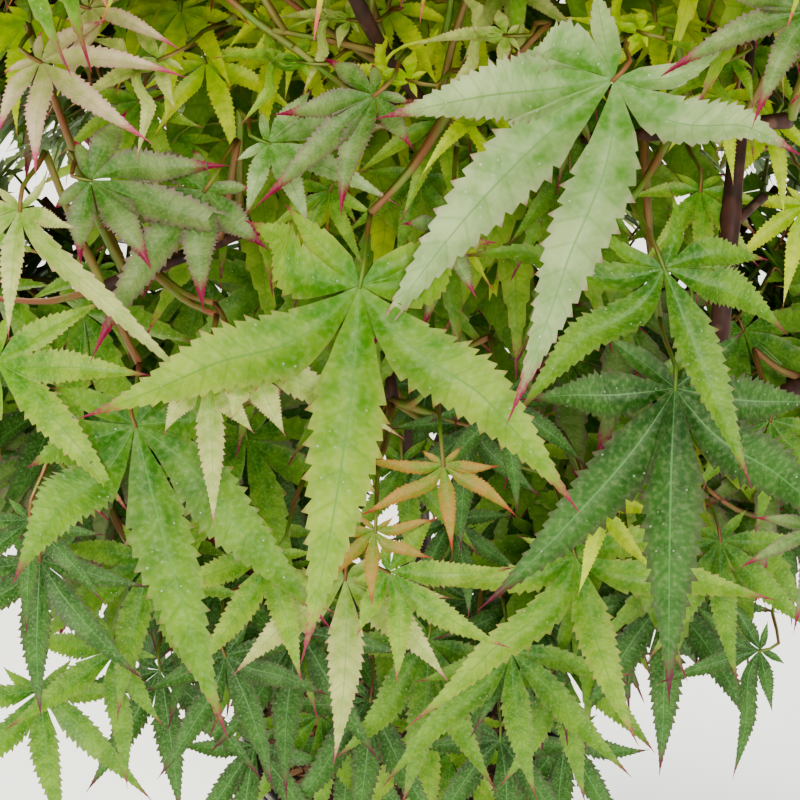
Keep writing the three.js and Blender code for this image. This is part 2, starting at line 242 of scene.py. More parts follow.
def closed_rings(rings: list[Vec], foot: Vec, tip: Vec, slot: int = 0) -> Patch:
    """A closed solid of rings that climb, with points that run counter-clockwise.

    Args:
        rings: rings with the same number of points each.
        foot: point that closes the first ring.
        tip: point that closes the last ring.
        slot: material slot.

    Returns:
        The solid's patch.
    """
    count, sides = len(rings), len(rings[0])
    around = np.arange(sides)
    onward = (around + 1) % sides
    starts = (np.arange(count - 1) * sides)[:, None]
    a, b = (starts + around).ravel(), (starts + onward).ravel()
    walls = [np.stack([a, b, b + sides], 1), np.stack([a, b + sides, a + sides], 1)]
    low = np.stack([np.full(sides, count * sides), onward, around], 1)
    top = (count - 1) * sides
    high = np.stack([np.full(sides, count * sides + 1), top + around, top + onward], 1)
    return Patch(np.concatenate([*rings, [foot], [tip]]), np.concatenate([*walls, low, high]), slot)


def tube(points: list[Vec], radii: Vec, sides: int, slot: int = 0) -> Patch:
    """A closed round rod through points.

    Args:
        points: middle of the rod.
        radii: radius at each point, or one row of radii around it for each point.
        sides: number of sides.
        slot: material slot.

    Returns:
        The rod's patch.
    """
    last = len(points) - 1
    turns = turns_of(sides)
    normal = np.array([1.0, 0.01, 0.02])
    rings = []
    for i, point in enumerate(points):
        tangent = unit(points[min(i + 1, last)] - points[max(i - 1, 0)])
        normal = unit(normal - tangent * float(normal @ tangent))
        ring = np.outer(np.cos(turns), normal) + np.outer(np.sin(turns), cross(tangent, normal))
        rings.append(point + ring * np.reshape(radii[i], (-1, 1)))
    return closed_rings(rings, points[0], points[-1], slot)


def linear(code: str) -> tuple[float, float, float, float]:
    """Linear colour with alpha from an sRGB code such as "a1b2c3"."""
    parts = [int(code[i : i + 2], 16) / 255 for i in (0, 2, 4)]
    return (*[c / 12.92 if c <= 0.04045 else ((c + 0.055) / 1.055) ** 2.4 for c in parts], 1.0)


def add_node(tree: NodeTree, kind: str, inputs: dict | None = None, **settings: object) -> Node:
    """Adds a node, sets it up and joins it to others.

    Args:
        tree: tree to add the node to.
        kind: node type. The word ShaderNode at its start may be left out.
        inputs: what each input gets, by its name or index: a value, a colour code, a socket, or a node whose
            first output in use feeds it.
        settings: attributes of the node.

    Returns:
        The new node.
    """
    node = tree.nodes.new(kind if "Node" in kind else f"ShaderNode{kind}")
    for key, value in settings.items():
        setattr(node, key, value)
    for key, given in (inputs or {}).items():
        if isinstance(given, Node):
            given = next(socket for socket in given.outputs if socket.enabled)
        if isinstance(given, Socket):
            tree.links.new(given, node.inputs[key])
        else:
            node.inputs[key].default_value = linear(given) if isinstance(given, str) else given
    return node


# Finishes


# Settings of a Map Range node that eases at both ends, and of a Mix node that mixes colours
SMOOTH = {"interpolation_type": "SMOOTHSTEP"}
COLOUR = {"data_type": "RGBA"}


@dataclass(frozen=True)
class Layer:
    """A tone over those below it: none where the pattern is at start, the share of it from full on."""

    pattern: Node | Socket
    start: float
    full: float
    tone: str
    share: float | Node = 1.0


def layered(add: Adder, colour: str | Node, *layers: Layer) -> Node:
    """Lays tones over a colour.

    Args:
        add: adds a node to the material's tree.
        colour: what lies lowest.
        layers: the layers over it, from the lowest up.

    Returns:
        The node that gives the colour on top.
    """
    for layer in layers:
        ramp = {0: layer.pattern, 1: layer.start, 2: layer.full, 4: layer.share}
        cover = add("MapRange", ramp, **SMOOTH)
        colour = add("Mix", {0: cover, 6: colour, 7: layer.tone}, **COLOUR)
    return colour


class Finish:
    """What the finishes share: a material that is made from the nodes of a surface."""

    def surface(self, add: Adder) -> Node:
        """The surface's last node, made with the function add."""
        raise NotImplementedError

    def material(self, name: str) -> Material:
        """A new material with this surface.

        Args:
            name: what the material is.

        Returns:
            The material.
        """
        made = bpy.data.materials.new(name)
        made.use_nodes = True
        made.node_tree.nodes.clear()
        add = partial(add_node, made.node_tree)
        add("OutputMaterial", {0: self.surface(add)})
        return made


@dataclass(frozen=True)
class LeafFinish(Finish):
    """Waxy leaf of one tint, deeper near its centre and on its side ribs, with a coloured tip and edge.

    Sizes are in millimetres. It reads the maps Lobe (across, along) and Plan (millimetres). Dust on a real
    leaf is too fine to show, so its specks are drawn as wide as grains of sand.
    """

    blade: str
    deep: str
    tip: str
    edge: str
    blush_start: float = 0.84
    edge_share: float = 0.3
    dust_share: float = 0.5
    rib: str = "b2d07a"
    mottle: str = "e2ecb8"
    dust: str = "e6e9dc"
    cloud_size: float = 6.25
    mottle_size: float = 1.11
    dust_spacing: float = 2.0
    side_ribs: float = 13.0
    rib_slant: float = 0.055
    ragged: float = 0.16
    blush_length: float = 0.15
    roughness: float = 0.4
    glow_share: float = 0.3

    def surface(self, add: Adder) -> Node:
        """Soft wax over the leaf's colours, with a little light that comes through the blade.

        Args:
            add: adds a node to the material's tree.

        Returns:
            The surface's last node.
        """
        lobe = add("UVMap", uv_map="Lobe")
        plan = add("UVMap", uv_map="Plan")
        sideways, length, _ = add("SeparateXYZ", {0: lobe}).outputs
        across = add("Math", {0: sideways}, operation="ABSOLUTE")
        cloud = add("TexNoise", {"Scale": 1 / self.cloud_size, "Detail": 3.0, "Vector": plan})
        mottle = add("TexNoise", {"Scale": 1 / self.mottle_size, "Detail": 4.0, "Vector": plan})
        specks = add("TexVoronoi", {"Scale": 1 / self.dust_spacing, "Vector": plan})
        slant = add("Math", {0: across, 1: -self.rib_slant, 2: length}, operation="MULTIPLY_ADD")
        steps = add("Math", {0: slant, 1: self.side_ribs}, operation="MULTIPLY")
        comb = add("Math", {0: steps, 1: 0.5}, operation="PINGPONG")
        offset = add("Math", {0: mottle, 1: 0.5}, operation="SUBTRACT")
        uneven = add("Math", {0: offset, 1: self.ragged, 2: length}, operation="MULTIPLY_ADD")
        reach = add("Math", {0: across, 1: 0.03, 2: uneven}, operation="MULTIPLY_ADD")
        dusty = add("MapRange", {0: cloud, 1: 0.42, 2: 0.6, 4: self.dust_share}, **SMOOTH)
        shaded = add("MapRange", {0: cloud, 1: 0.35, 2: 0.68, 4: 0.5}, **SMOOTH)
        inner = add("MapRange", {0: length, 1: 0.62, 2: 0.06, 4: 0.65}, **SMOOTH)
        depth = add("Math", {0: shaded, 1: inner}, operation="ADD")
        blush_end = min(self.blush_start + self.blush_length, 0.995)
        colour = layered(
            add,
            add("Mix", {0: depth, 6: self.blade, 7: self.deep}, **COLOUR),
            Layer(mottle, 0.4, 0.75, self.mottle, 0.15),
            Layer(comb, 0.11, 0.02, self.deep, 0.22),
            Layer(across, 0.05, 0.02, self.rib, 0.7),
            Layer(across, 0.55, 1.05, self.edge, self.edge_share),
            Layer(across, 0.97, 1.12, self.tip, 0.45),
            Layer(reach, self.blush_start, blush_end, self.tip),
            Layer(specks, 0.12, 0.06, self.dust, dusty),
        )
        look = {"Roughness": self.roughness, "IOR": 1.45, "Base Color": colour}
        wax = add("BsdfPrincipled", look)
        glow = add("BsdfTranslucent", {"Color": colour})
        return add("MixShader", {0: self.glow_share, 1: wax, 2: glow})


class Tint(Enum):
    """Tints of leaf, from the old shaded ones to the young ones. Some of them also carry painted light."""

    # Whitish green: partly the leaf's own colour, partly a painted sheen of its wax
    SAGE = LeafFinish("c0d59c", "629838", "a02c5a", "c0a8a4", 0.8, 0.3, 0.8, "74a850")
    GRASS = LeafFinish("85ad3c", "3a7414", "8e2a4c", "9a9a6a", 0.82, 0.25, 0.7, "6aa84c")
    MEADOW = LeafFinish("a6c44e", "4e8c14", "a03056", "b9a96c", 0.82, 0.3, 0.5, "6ea640")
    # Deep green: partly the old leaves' own colour, partly painted shade for leaves low and deep in the crown
    FOREST = LeafFinish("54833a", "245612", "6d1a3c", "5d4a45", 0.8, 0.45, 0.6, "72ac60")
    # Bright yellow green: partly the leaf's own colour, partly a painted glow of the light that comes through
    # the blade
    LIME = LeafFinish("dde84e", "90bc1c", "d3686a", "cfc46a", 0.9, 0.2, 0.2, "a8c848")
    # Pale yellow green: partly the leaf's own colour, partly a painted sheen
    PALE = LeafFinish("d6da8e", "84aa3c", "b43e6e", "d8b8a0", 0.85, 0.4, 0.3, "8cb85c")
    BRONZE = LeafFinish("c49450", "6f962a", "b64a3a", "b8683e", 0.75, 0.5, 0.1, "86a03c")
    BLUSH = LeafFinish("e6ccb4", "a8b462", "c94e79", "d49aa4", 0.72, 0.6, 0.1, "b0b880")
    DUSK = LeafFinish("92a468", "487a24", "96244c", "84546e", 0.7, 0.6, 0.5, "7cae5c")


@dataclass(frozen=True)
class WoodFinish(Finish):
    """Bark or green twig: two tones in upright streaks, with pale pores. Sizes are in millimetres.

    Real pores are about 1 mm apart, which would not show, so they are drawn wider apart.
    """

    dark: str
    light: str
    pore: str
    pore_share: float
    roughness: float
    grain: float
    climb: float = 0.22
    pore_spacing: float = 5.26
    relief: float = 0.4

    def surface(self, add: Adder) -> Node:
        """Dull bark with a shallow relief along its streaks.

        Args:
            add: adds a node to the material's tree.

        Returns:
            The surface's last node.
        """
        place = add("TexCoord").outputs["Object"]
        stretched = add("Mapping", {"Scale": (1.0, 1.0, self.climb), "Vector": place})
        scale = 1 / (self.grain * MM)
        streak = add("TexNoise", {"Scale": scale, "Detail": 6.0, "Vector": stretched})
        spots = add("TexVoronoi", {"Scale": 1 / (self.pore_spacing * MM), "Vector": place})
        tones = Layer(streak, 0.34, 0.66, self.light), Layer(spots, 0.24, 0.12, self.pore, self.pore_share)
        look = {"Roughness": self.roughness, "IOR": 1.45, "Base Color": layered(add, self.dark, *tones)}
        bump = add("Bump", {"Strength": 0.35, "Distance": self.relief * MM, "Height": streak})
        return add("BsdfPrincipled", look | {"Normal": bump})


@dataclass(frozen=True)
class GroundFinish(Finish):
    """Rough matter in three tones: compost, bark chips or the floor. Sizes are in millimetres."""

    dark: str
    light: str
    speck: str
    cloud_size: float
    speck_share: float
    roughness: float
    relief: float
    specks_in_cloud: float = 9

    def surface(self, add: Adder) -> Node:
        """A matt surface of fine grains.

        Args:
            add: adds a node to the material's tree.

        Returns:
            The surface's last node.
        """
        place = add("TexCoord").outputs["Object"]
        scale = 1 / (self.cloud_size * MM)
        finer = self.specks_in_cloud * scale
        cloud = add("TexNoise", {"Scale": scale, "Detail": 8.0, "Vector": place})
        fine = add("TexNoise", {"Scale": finer, "Detail": 3.0, "Vector": place})
        tones = Layer(cloud, 0.36, 0.64, self.light), Layer(fine, 0.6, 0.68, self.speck, self.speck_share)
        look = {"Roughness": self.roughness, "IOR": 1.45, "Base Color": layered(add, self.dark, *tones)}
        bump = add("Bump", {"Strength": 0.4, "Distance": self.relief * MM, "Height": fine})
        return add("BsdfPrincipled", look | {"Normal": bump})


@dataclass(frozen=True)
class PlasticFinish(Finish):
    """Black moulded polypropylene with dust and water marks low on it. Sizes are in millimetres."""

    plastic: str = "17181b"
    dust: str = "6b6459"
    roughness: Pair = (0.3, 0.62)
    mark_size: float = 38.5
    splash_height: float = 50

    def surface(self, add: Adder) -> Node:
        """Satin plastic that is dull where it is dusty.

        Args:
            add: adds a node to the material's tree.

        Returns:
            The surface's last node.
        """
        place = add("TexCoord").outputs["Object"]
        height = add("SeparateXYZ", {0: place}).outputs[2]
        scale = 1 / (self.mark_size * MM)
        cloud = add("TexNoise", {"Scale": scale, "Detail": 7.0, "Vector": place})
        splash = {0: height, 1: self.splash_height * MM, 2: 0.0, 3: 0.16, 4: 0.66}
        most = add("MapRange", splash, **SMOOTH)
        marks = add("MapRange", {0: cloud, 1: 0.5, 2: 0.75, 4: most}, **SMOOTH)
        wear = add("MapRange", {0: marks, 2: 0.5, 3: self.roughness[0], 4: self.roughness[1]})
        colour = add("Mix", {0: marks, 6: self.plastic, 7: self.dust}, **COLOUR)
        return add("BsdfPrincipled", {"IOR": 1.49, "Base Color": colour, "Roughness": wear})


# Young bark of trunk and boughs: dark brown to purple, dull, with pale pores that catch the eye from near
BARK = WoodFinish("33231f", "5f4339", "a58f78", 0.5, 0.72, 6.67)
# Bark of the twigs: redder and a little smoother, so that they stand off from the green
TWIG = WoodFinish("34201f", "54322c", "8b6d58", 0.3, 0.6, 3.85)
# Green skin of leaf stalks and fine twigs, which blushes brown on the side that had the sun
STALK = WoodFinish("6c8a3a", "8c5a40", "94804e", 0.2, 0.5, 8.33)
# Moist bark compost: nearly black with brown crumbs, matt
COMPOST = GroundFinish("1e1611", "3d2c20", "75604a", 16.7, 0.55, 0.95, 1.2)
# Broken bark chips: brown with pale fibres, so that they show on the compost
CHIP = GroundFinish("34261c", "684c36", "957a5c", 7.14, 0.4, 0.9, 0.5)
# Matt floor paint: pale and nearly even
FLOOR = GroundFinish("c9d0d9", "d3d9e0", "dde2e8", 333.0, 0.15, 0.85, 0.2)
# Black moulded polypropylene: satin where clean, grey and dull near the ground
PLASTIC = PlasticFinish()


def dress(piece: Piece, finishes: list[Material]) -> None:
    """Gives a piece its material slots, in order."""
    for finish in finishes:
        piece.data.materials.append(finish)


def place_piece(piece: Piece, slot: str, *nodes: str) -> None:
    """Joins a piece to the CAD.

    Args:
        piece: the piece, which rides on the root.
        slot: its material slot, which is not used.
        nodes: CAD nodes that it stands for.
    """
    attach(piece, "root")
    if nodes:
        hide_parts(*nodes)
    LOG.info("%s: %d faces", piece.name, len(piece.data.polygons))


# Pot and compost


@dataclass(frozen=True)
class NurseryPot:
    """A tapered pot with a wider band above its shoulder and a rolled lip."""

    height: float = 125
    base_radius: float = 50
    shoulder_radius: float = 62
    rim_radius: float = 66
    wall: float = 2
    floor: float = 3
    band_height: float = 18
    band_step: float = 2.2
    lip_reach: float = 3.2
    lip_height: float = 4
    edge: float = 1
    drain_holes: int = 6
    drain_radius: float = 4
    ring_share: float = 0.72
    sides: int = 120
    hoops: Pair = (16, 12)
    hoop_half: float = 1.2
    hoop_rise: float = 0.45
    crease: float = 38

    @property
    def shoulder(self) -> float:
        """Height of the shoulder."""
        return self.height - self.band_height

    def body_radius(self, height: float) -> float:
        """Outer radius below the shoulder."""
        return mix(self.base_radius, self.shoulder_radius, height / self.shoulder)

    def band_radius(self, height: float) -> float:
        """Outer radius of the band above the shoulder."""
        share = (height - self.shoulder) / self.band_height
        return mix(self.shoulder_radius + self.band_step, self.rim_radius, share)

    def profile(self) -> list[Pair]:
        """Outline of the wall.

        Returns:
            Radius and height pairs, from the axis to the axis.
        """
        edge, lip = self.edge, self.rim_radius + self.lip_reach
        inner, under = self.rim_radius - self.wall, self.height - self.lip_height
        body, band, shoulder = self.body_radius, self.band_radius, self.shoulder
        foot = [(0, 0), (self.base_radius - 2 * edge, 0), (self.base_radius - edge, 0.15 * edge)]
        foot += [(body(edge) - 0.1, 0.6 * edge), (body(1.6 * edge), 1.6 * edge)]
        hoops = []
        for hoop in (shoulder - down for down in self.hoops):
            for shift, rise in ((-self.hoop_half, 0), (0, self.hoop_rise), (self.hoop_half, 0)):
                hoops.append((body(hoop + shift) + rise, hoop + shift))
        wide = band(shoulder)
        step = [(body(shoulder - 0.6), shoulder - 0.6), (wide - self.band_step / 2, shoulder + 0.35)]
        step += [(wide, shoulder + edge)]
        roll = [(band(under) - 0.1, under), (lip - 0.5, under), (lip, under + 0.6), (lip, self.height - 1.1)]
        roll += [(lip - 0.35, self.height - 0.35), (lip - edge, self.height), (inner + edge, self.height)]
        roll += [(inner + 0.3, self.height - 0.3), (inner, self.height - edge)]
        wall, floor = self.wall, self.floor
        deep = [(wide - wall, shoulder + wall), (body(shoulder) - wall, shoulder - edge)]
        deep += [(body(floor) - wall, floor), (0, floor)]
        return foot + hoops + step + roll + deep

    def build(self) -> Piece:
        """Turns the profile and drills the drain holes.

        Returns:
            The pot.
        """
        profile = self.profile()
        rings = [level_ring(radius, height, self.sides) for radius, height in profile[1:-1]]
        under, floor = (0, 0, profile[0][1]), (0, 0, profile[-1][1])
        shell = joined_mesh("pot_moulded", [closed_rings(rings, under, floor)])
        drill_mesh = bmesh.new()
        radius, ring = self.drain_radius * MM, self.ring_share * self.base_radius * MM
        for i in range(self.drain_holes):
            turn = 2 * pi * (i + 0.5) / self.drain_holes
            size = {"segments": 24, "radius1": radius, "radius2": radius, "depth": 4 * self.floor * MM}
            made = bmesh.ops.create_cone(drill_mesh, cap_ends=True, **size)
            place = (ring * cos(turn), ring * sin(turn), 0)
            bmesh.ops.translate(drill_mesh, verts=made["verts"], vec=place)
        mesh = bpy.data.meshes.new("drills")
        drill_mesh.to_mesh(mesh)
        drill_mesh.free()
        drills = linked("drills", mesh)
        cut = shell.modifiers.new("drain holes", "BOOLEAN")
        cut.operation, cut.solver, cut.object = "DIFFERENCE", "EXACT", drills
        pot = bake_modifiers(shell)
        bpy.data.objects.remove(drills)
        pot.data.shade_smooth()
        pot.data.set_sharp_from_angle(angle=radians(self.crease))
        return pot

    def dress(self, pot: Piece) -> None:
        """Black plastic, in place of the CAD pot."""
        dress(pot, [PLASTIC.material("black plastic")])
        place_piece(pot, "pot", "pot")


def bake_modifiers(piece: Piece) -> Piece:
    """The piece with its modifiers made into its mesh.

    Args:
        piece: object with modifiers.

    Returns:
        The same object, without modifiers.
    """
    bpy.context.view_layer.update()
    evaluated = piece.evaluated_get(bpy.context.evaluated_depsgraph_get())
    mesh = bpy.data.meshes.new_from_object(evaluated)
    piece.modifiers.clear()
    piece.data = mesh
    mesh.name = piece.name
    return piece


@dataclass(frozen=True)
class Compost:
    """Crumbly compost with bark chips, heaped a little round the trunk."""

    pot: NurseryPot
    below_rim: float = 12
    mound: float = 4
    mound_foot: float = 1
    mound_radius: float = 48
    seat_radius: float = 16
    edge_radius: float = 70
    crumb: float = 1.1
    rings: int = 46
    sides: int = 150
    chips: int = 620
    chip_size: Place = (5.2, 2.7, 1.3)
    chip_warp: Place = (3, 3, 1.6)
    chip_scales: Pair = (0.5, 1.15)
    chip_tilt: float = 0.5
    chip_turn: float = 6.28
    chip_reach: Pair = (12.5, 59.5)
    strewn_radius: float = 58
    warp_size: float = 2.38
    seed: int = 7

    @property
    def level(self) -> float:
        """Height of the compost at the wall."""
        return self.pot.height - self.below_rim

    @property
    def top(self) -> float:
        """Height of the compost at the trunk."""
        return self.level + self.mound

    def surface(self, radius: Vec, turn: Vec) -> Vec:
        """Height of the crumbly top.

        Args:
            radius: distances from the axis.
            turn: angles about the axis.

        Returns:
            The heights.
        """
        places = [0, self.seat_radius, self.mound_radius, self.edge_radius]
        shape = np.interp(radius, places, [self.mound, self.mound, self.mound_foot, 0])
        x, y = radius * np.cos(turn), radius * np.sin(turn)
        # Two crossing waves make crumbs of about 3 mm, and two finer ones those of 1 mm
        crumbs = np.sin(0.9 * x + 1.3 * np.sin(0.5 * y)) * np.sin(1.1 * y + 0.7 * np.sin(0.6 * x))
        fine = np.sin(2.3 * x + 0.4 * y) * np.sin(2.9 * y - 0.8 * x)
        fade = np.clip((radius - 9) / 8, 0, 1) * np.clip((64 - radius) / 3, 0.2, 1)
        return self.level + shape + self.crumb * fade * (0.55 * crumbs + 0.45 * fine - 0.35)

    def build(self) -> Piece:
        """Builds the compost body under its crumbly top.

        Returns:
            The compost.
        """
        inset = self.pot.wall + FIT_GAP
        bottom = self.pot.floor + FIT_GAP
        wall = [
            (self.pot.body_radius(self.pot.floor) - inset, bottom),
            (self.pot.body_radius(self.pot.shoulder) - inset, self.pot.shoulder - self.pot.edge),
            (self.pot.band_radius(self.pot.shoulder) - inset, self.pot.shoulder + self.pot.wall),
        ]
        turns = turns_of(self.sides)
        rings = [level_ring(radius, height, self.sides) for radius, height in wall]
        edge = self.pot.band_radius(self.level) - inset
        for radius in np.linspace(edge, 1.0, self.rings):
            rings.append(level_ring(radius, self.surface(np.full(self.sides, radius), turns), self.sides))
        middle = self.surface(np.zeros(1), np.zeros(1))[0]
        return joined_mesh("compost_crumbs", [closed_rings(rings, (0, 0, bottom), (0, 0, middle))])

    def chip_tree(self) -> NodeTree:
        """Geometry nodes that strew bark chips over the top of the mesh they are given.

        Returns:
            The node tree, with inputs Chips, Smallest, Largest, Seed and Finish.
        """
        tree = bpy.data.node_groups.new("strewn chips", "GeometryNodeTree")
        kinds = {"Geometry": "Geometry", "Chips": "Float", "Smallest": "Float", "Largest": "Float"}
        kinds |= {"Seed": "Int", "Finish": "Material"}
        for name, kind in kinds.items():
            tree.interface.new_socket(name=name, in_out="INPUT", socket_type=f"NodeSocket{kind}")
        tree.interface.new_socket(name="Geometry", in_out="OUTPUT", socket_type="NodeSocketGeometry")
        add = partial(add_node, tree)
        given = add("NodeGroupInput").outputs
        place = add("GeometryNodeInputPosition")
        height = add("SeparateXYZ", {0: place}).outputs[2]
        level = add("VectorMath", {0: place, 1: (1.0, 1.0, 0.0)}, operation="MULTIPLY")
        reach = add("VectorMath", {0: level}, operation="LENGTH")
        nearest, farthest = self.chip_reach
        ring = {0: reach, 1: (nearest + farthest) / 2 * MM, 2: (farthest - nearest) / 2 * MM}
        ringed = add("Math", ring, operation="COMPARE")
        high = add("Math", {0: height, 1: (self.level - 2) * MM}, operation="GREATER_THAN")
        on_top = add("Math", {0: high, 1: ringed}, operation="MULTIPLY")
        where = {"Mesh": given["Geometry"], "Selection": on_top, "Density": given["Chips"]}
        strewn = add("GeometryNodeDistributePointsOnFaces", where | {"Seed": given["Seed"]})
        size = tuple(side * MM for side in self.chip_size)
        block = add("GeometryNodeMeshCube", {"Size": size, "Vertices X": 3, "Vertices Y": 3, "Vertices Z": 2})
        warp = add("TexNoise", {"Scale": 1 / (self.warp_size * MM), "Detail": 2.0, "Vector": place})
        centred = add("VectorMath", {0: warp.outputs[1], 1: (0.5, 0.5, 0.5)}, operation="SUBTRACT")
        shift = tuple(side * MM for side in self.chip_warp)
        moved = add("VectorMath", {0: centred, 1: shift}, operation="MULTIPLY")
        chip = add("GeometryNodeSetPosition", {"Geometry": block, "Offset": moved})
        tilt = self.chip_tilt
        turns = {0: (-tilt, -tilt, 0.0), 1: (tilt, tilt, self.chip_turn), "Seed": given["Seed"]}
        spin = add("FunctionNodeRandomValue", turns, data_type="FLOAT_VECTOR")
        scales = {2: given["Smallest"], 3: given["Largest"], "Seed": given["Seed"]}
        scale = add("FunctionNodeRandomValue", scales, data_type="FLOAT")
        spread = {"Points": strewn, "Instance": chip, "Rotation": spin, "Scale": scale}
        real = add("GeometryNodeRealizeInstances", {0: add("GeometryNodeInstanceOnPoints", spread)})
        done = add("GeometryNodeSetMaterial", {"Geometry": real, "Material": given["Finish"]})
        add("NodeGroupOutput", {0: done})
        return tree

    def strew_chips(self, compost: Piece) -> Piece:
        """Bark chips on the compost.

        Args:
            compost: the built compost, which the chips lie on.

        Returns:
            The chips, as one mesh.
        """
        chips = linked("bark_chips", compost.data.copy())
        chips.data.materials.clear()
        work = chips.modifiers.new("chips", "NODES")
        work.node_group = self.chip_tree()
        area = pi * (self.strewn_radius * MM) ** 2
        smallest, largest = self.chip_scales
        values = {"Chips": self.chips / area, "Smallest": smallest, "Largest": largest, "Seed": self.seed}
        values["Finish"] = CHIP.material("bark chips")
        for item in work.node_group.interface.items_tree:
            if item.item_type == "SOCKET" and item.in_out == "INPUT" and item.name in values:
                work[item.identifier] = values[item.name]
        return bake_modifiers(chips)

    def dress(self, compost: Piece, chips: Piece) -> None:
        """Dark compost and brown chips, in place of the CAD compost."""
        dress(compost, [COMPOST.material("compost")])
        place_piece(compost, "compost", "compost")
        place_piece(chips, "compost", "compost")


# Trunk and boughs


@dataclass(frozen=True)
class TrunkShape:
    """The trunk, from its flared foot over the old graft to its tip."""

    compost_top: float
    length: float = 294
    foot_radius: float = 8.2
    tip_radius: float = 3
    taper: float = 0.8
    sway: Pair = (5, 4)
    sway_turns: Pair = (6, 4.4)
    lean: float = 4
    flare: float = 5
    flare_height: float = 13
    ridges: int = 3
    ridge_share: float = 0.35
    graft_swelling: float = 1.6
    graft_rise: float = 32
    graft_spread: float = 11
    steps: int = 14

    @property
    def foot(self) -> float:
        """Height of the trunk's foot."""
        return self.compost_top + FIT_GAP

    @property
    def tip(self) -> float:
        """Height of the trunk's tip."""
        return self.compost_top + self.length

    def middle(self, share: float) -> Vec:
        """Point of the trunk's middle at a share of its height."""
        x, y = (sway * sin(turns * share) for sway, turns in zip(self.sway, self.sway_turns))
        return np.array([x + self.lean * share, y, mix(self.foot, self.tip, share)])

    def radius(self, share: float, turn: float | Vec) -> float | Vec:
        """Radius of the trunk.

        Args:
            share: share of the height.
            turn: an angle round the trunk, or an array of them.

        Returns:
            The radius at each angle.
        """
        height = share * (self.tip - self.foot)
        ridged = 1 + self.ridge_share * np.cos(self.ridges * turn)
        flare = self.flare * ridged * math.exp(-height / self.flare_height)
        graft = math.exp(-(((FIT_GAP + height - self.graft_rise) / self.graft_spread) ** 2))
        return mix(self.foot_radius, self.tip_radius, share**self.taper) + flare + self.graft_swelling * graft

    def line(self) -> list[Vec]:
        """The middle in as many steps as the CAD solid has."""
        return [self.middle(i / self.steps) for i in range(self.steps + 1)]


@dataclass(frozen=True)
class BoughTier:
    """Three boughs round the trunk; feet and tips are heights above the compost."""

    names: tuple[str, ...]
    foot: float
    tip: float
    foot_step: float
    first_turn: float
    elevation: float
    distance: float
    spread: float = 52
    belly: Pair = (0.5, 0.3)
    shoulder: Pair = (0.85, 0.4)
    steps: int = 8

    def middle(self, trunk: TrunkShape, index: int, count: int) -> list[Vec]:
        """Middle of one bough.

        Args:
            trunk: the trunk that the bough leaves.
            index: which bough of the tier.
            count: number of steps.

        Returns:
            The points from foot to tip.
        """
        turn = self.turn(index)
        low = trunk.compost_top + self.foot + self.foot_step * index
        high = trunk.compost_top + self.tip
        out = np.array([cos(turn), sin(turn), 0.0])
        rise = high - low
        a = trunk.middle((low - trunk.foot) / (trunk.tip - trunk.foot))
        b = a + out * self.belly[0] * self.spread + UP * self.belly[1] * rise
        c = out * self.shoulder[0] * self.spread + UP * (high - self.shoulder[1] * rise)
        d = out * self.spread + UP * high
        points = []
        for t in (i / count for i in range(count + 1)):
            points.append(a * (1 - t) ** 3 + b * 3 * t * (1 - t) ** 2 + c * 3 * t * t * (1 - t) + d * t**3)
        return points

    def turn(self, index: int) -> float:
        """Angle of one bough round the trunk."""
        return radians(self.first_turn + 360 / len(self.names) * index)


HIGH_TIER = BoughTier(("front", "right", "left"), 100, 256, 16, 270, 16, 100)
LOW_TIER = BoughTier(("low_left", "low_right", "low_back"), 48, 166, 14, 210, -30, 104)


# Radius of a bough at its foot and at its tip
BOUGH_RADII = (4.4, 2.6)


def bough_radius(share: float, turns: float | Vec = 0.0) -> float | Vec:
    """Radius of a bough at a share of its length, the same at all angles round it."""
    return mix(*BOUGH_RADII, share) + 0.0 * turns


@dataclass(frozen=True)
class BarkRelief:
    """Shallow furrows, pores and ring scars of young bark."""

    furrow: float = 0.32
    furrows: int = 9
    scar: float = 0.4
    scar_spacing: float = 21.0
    scar_width: float = 1.3
    knobble: float = 0.22

    def depth(self, height: float, turns: Vec, wander: float) -> Vec:
        """How far the bark stands proud of its plain radius.

        Args:
            height: distance along the limb.
            turns: angles round the limb.
            wander: number that makes each limb differ.

        Returns:
            The heights of the relief round one ring.
        """
        bend = 1.4 * sin(0.06 * height + wander) + 0.8 * sin(0.17 * height)
        furrows = np.abs(np.sin(0.5 * self.furrows * turns + bend)) ** 0.6 - 0.7
        offset = (height + 4 * sin(wander)) % self.scar_spacing - self.scar_spacing / 2
        scars = math.exp(-((offset / self.scar_width) ** 2)) * (0.75 + 0.25 * np.cos(turns + wander))
        knobs = np.sin(3 * turns + 0.31 * height + wander) * np.sin(0.23 * height + 2 * turns)
        return self.furrow * furrows + self.scar * scars + self.knobble * knobs

    def limb(
        self, middle: list[Vec], radius_at: Callable[[float, Vec], Vec], sides: int, wander: float
    ) -> Patch:
        """A limb with its bark.

        Args:
            middle: points from foot to tip.
            radius_at: function of share and angles that gives the plain radius.
            sides: number of sides.
            wander: number that makes each limb differ.

        Returns:
            The limb's patch.
        """
        turns = turns_of(sides)
        count = len(middle) - 1
        gone = np.cumsum([0, *[norm(b - a) for a, b in zip(middle, middle[1:])]])
        radii = []
        for i in range(count + 1):
            plain = radius_at(i / count, turns)
            radii.append(plain + self.depth(gone[i], turns, wander) * np.clip(np.mean(plain) / 7, 0.35, 1))
        return tube(middle, radii, sides)


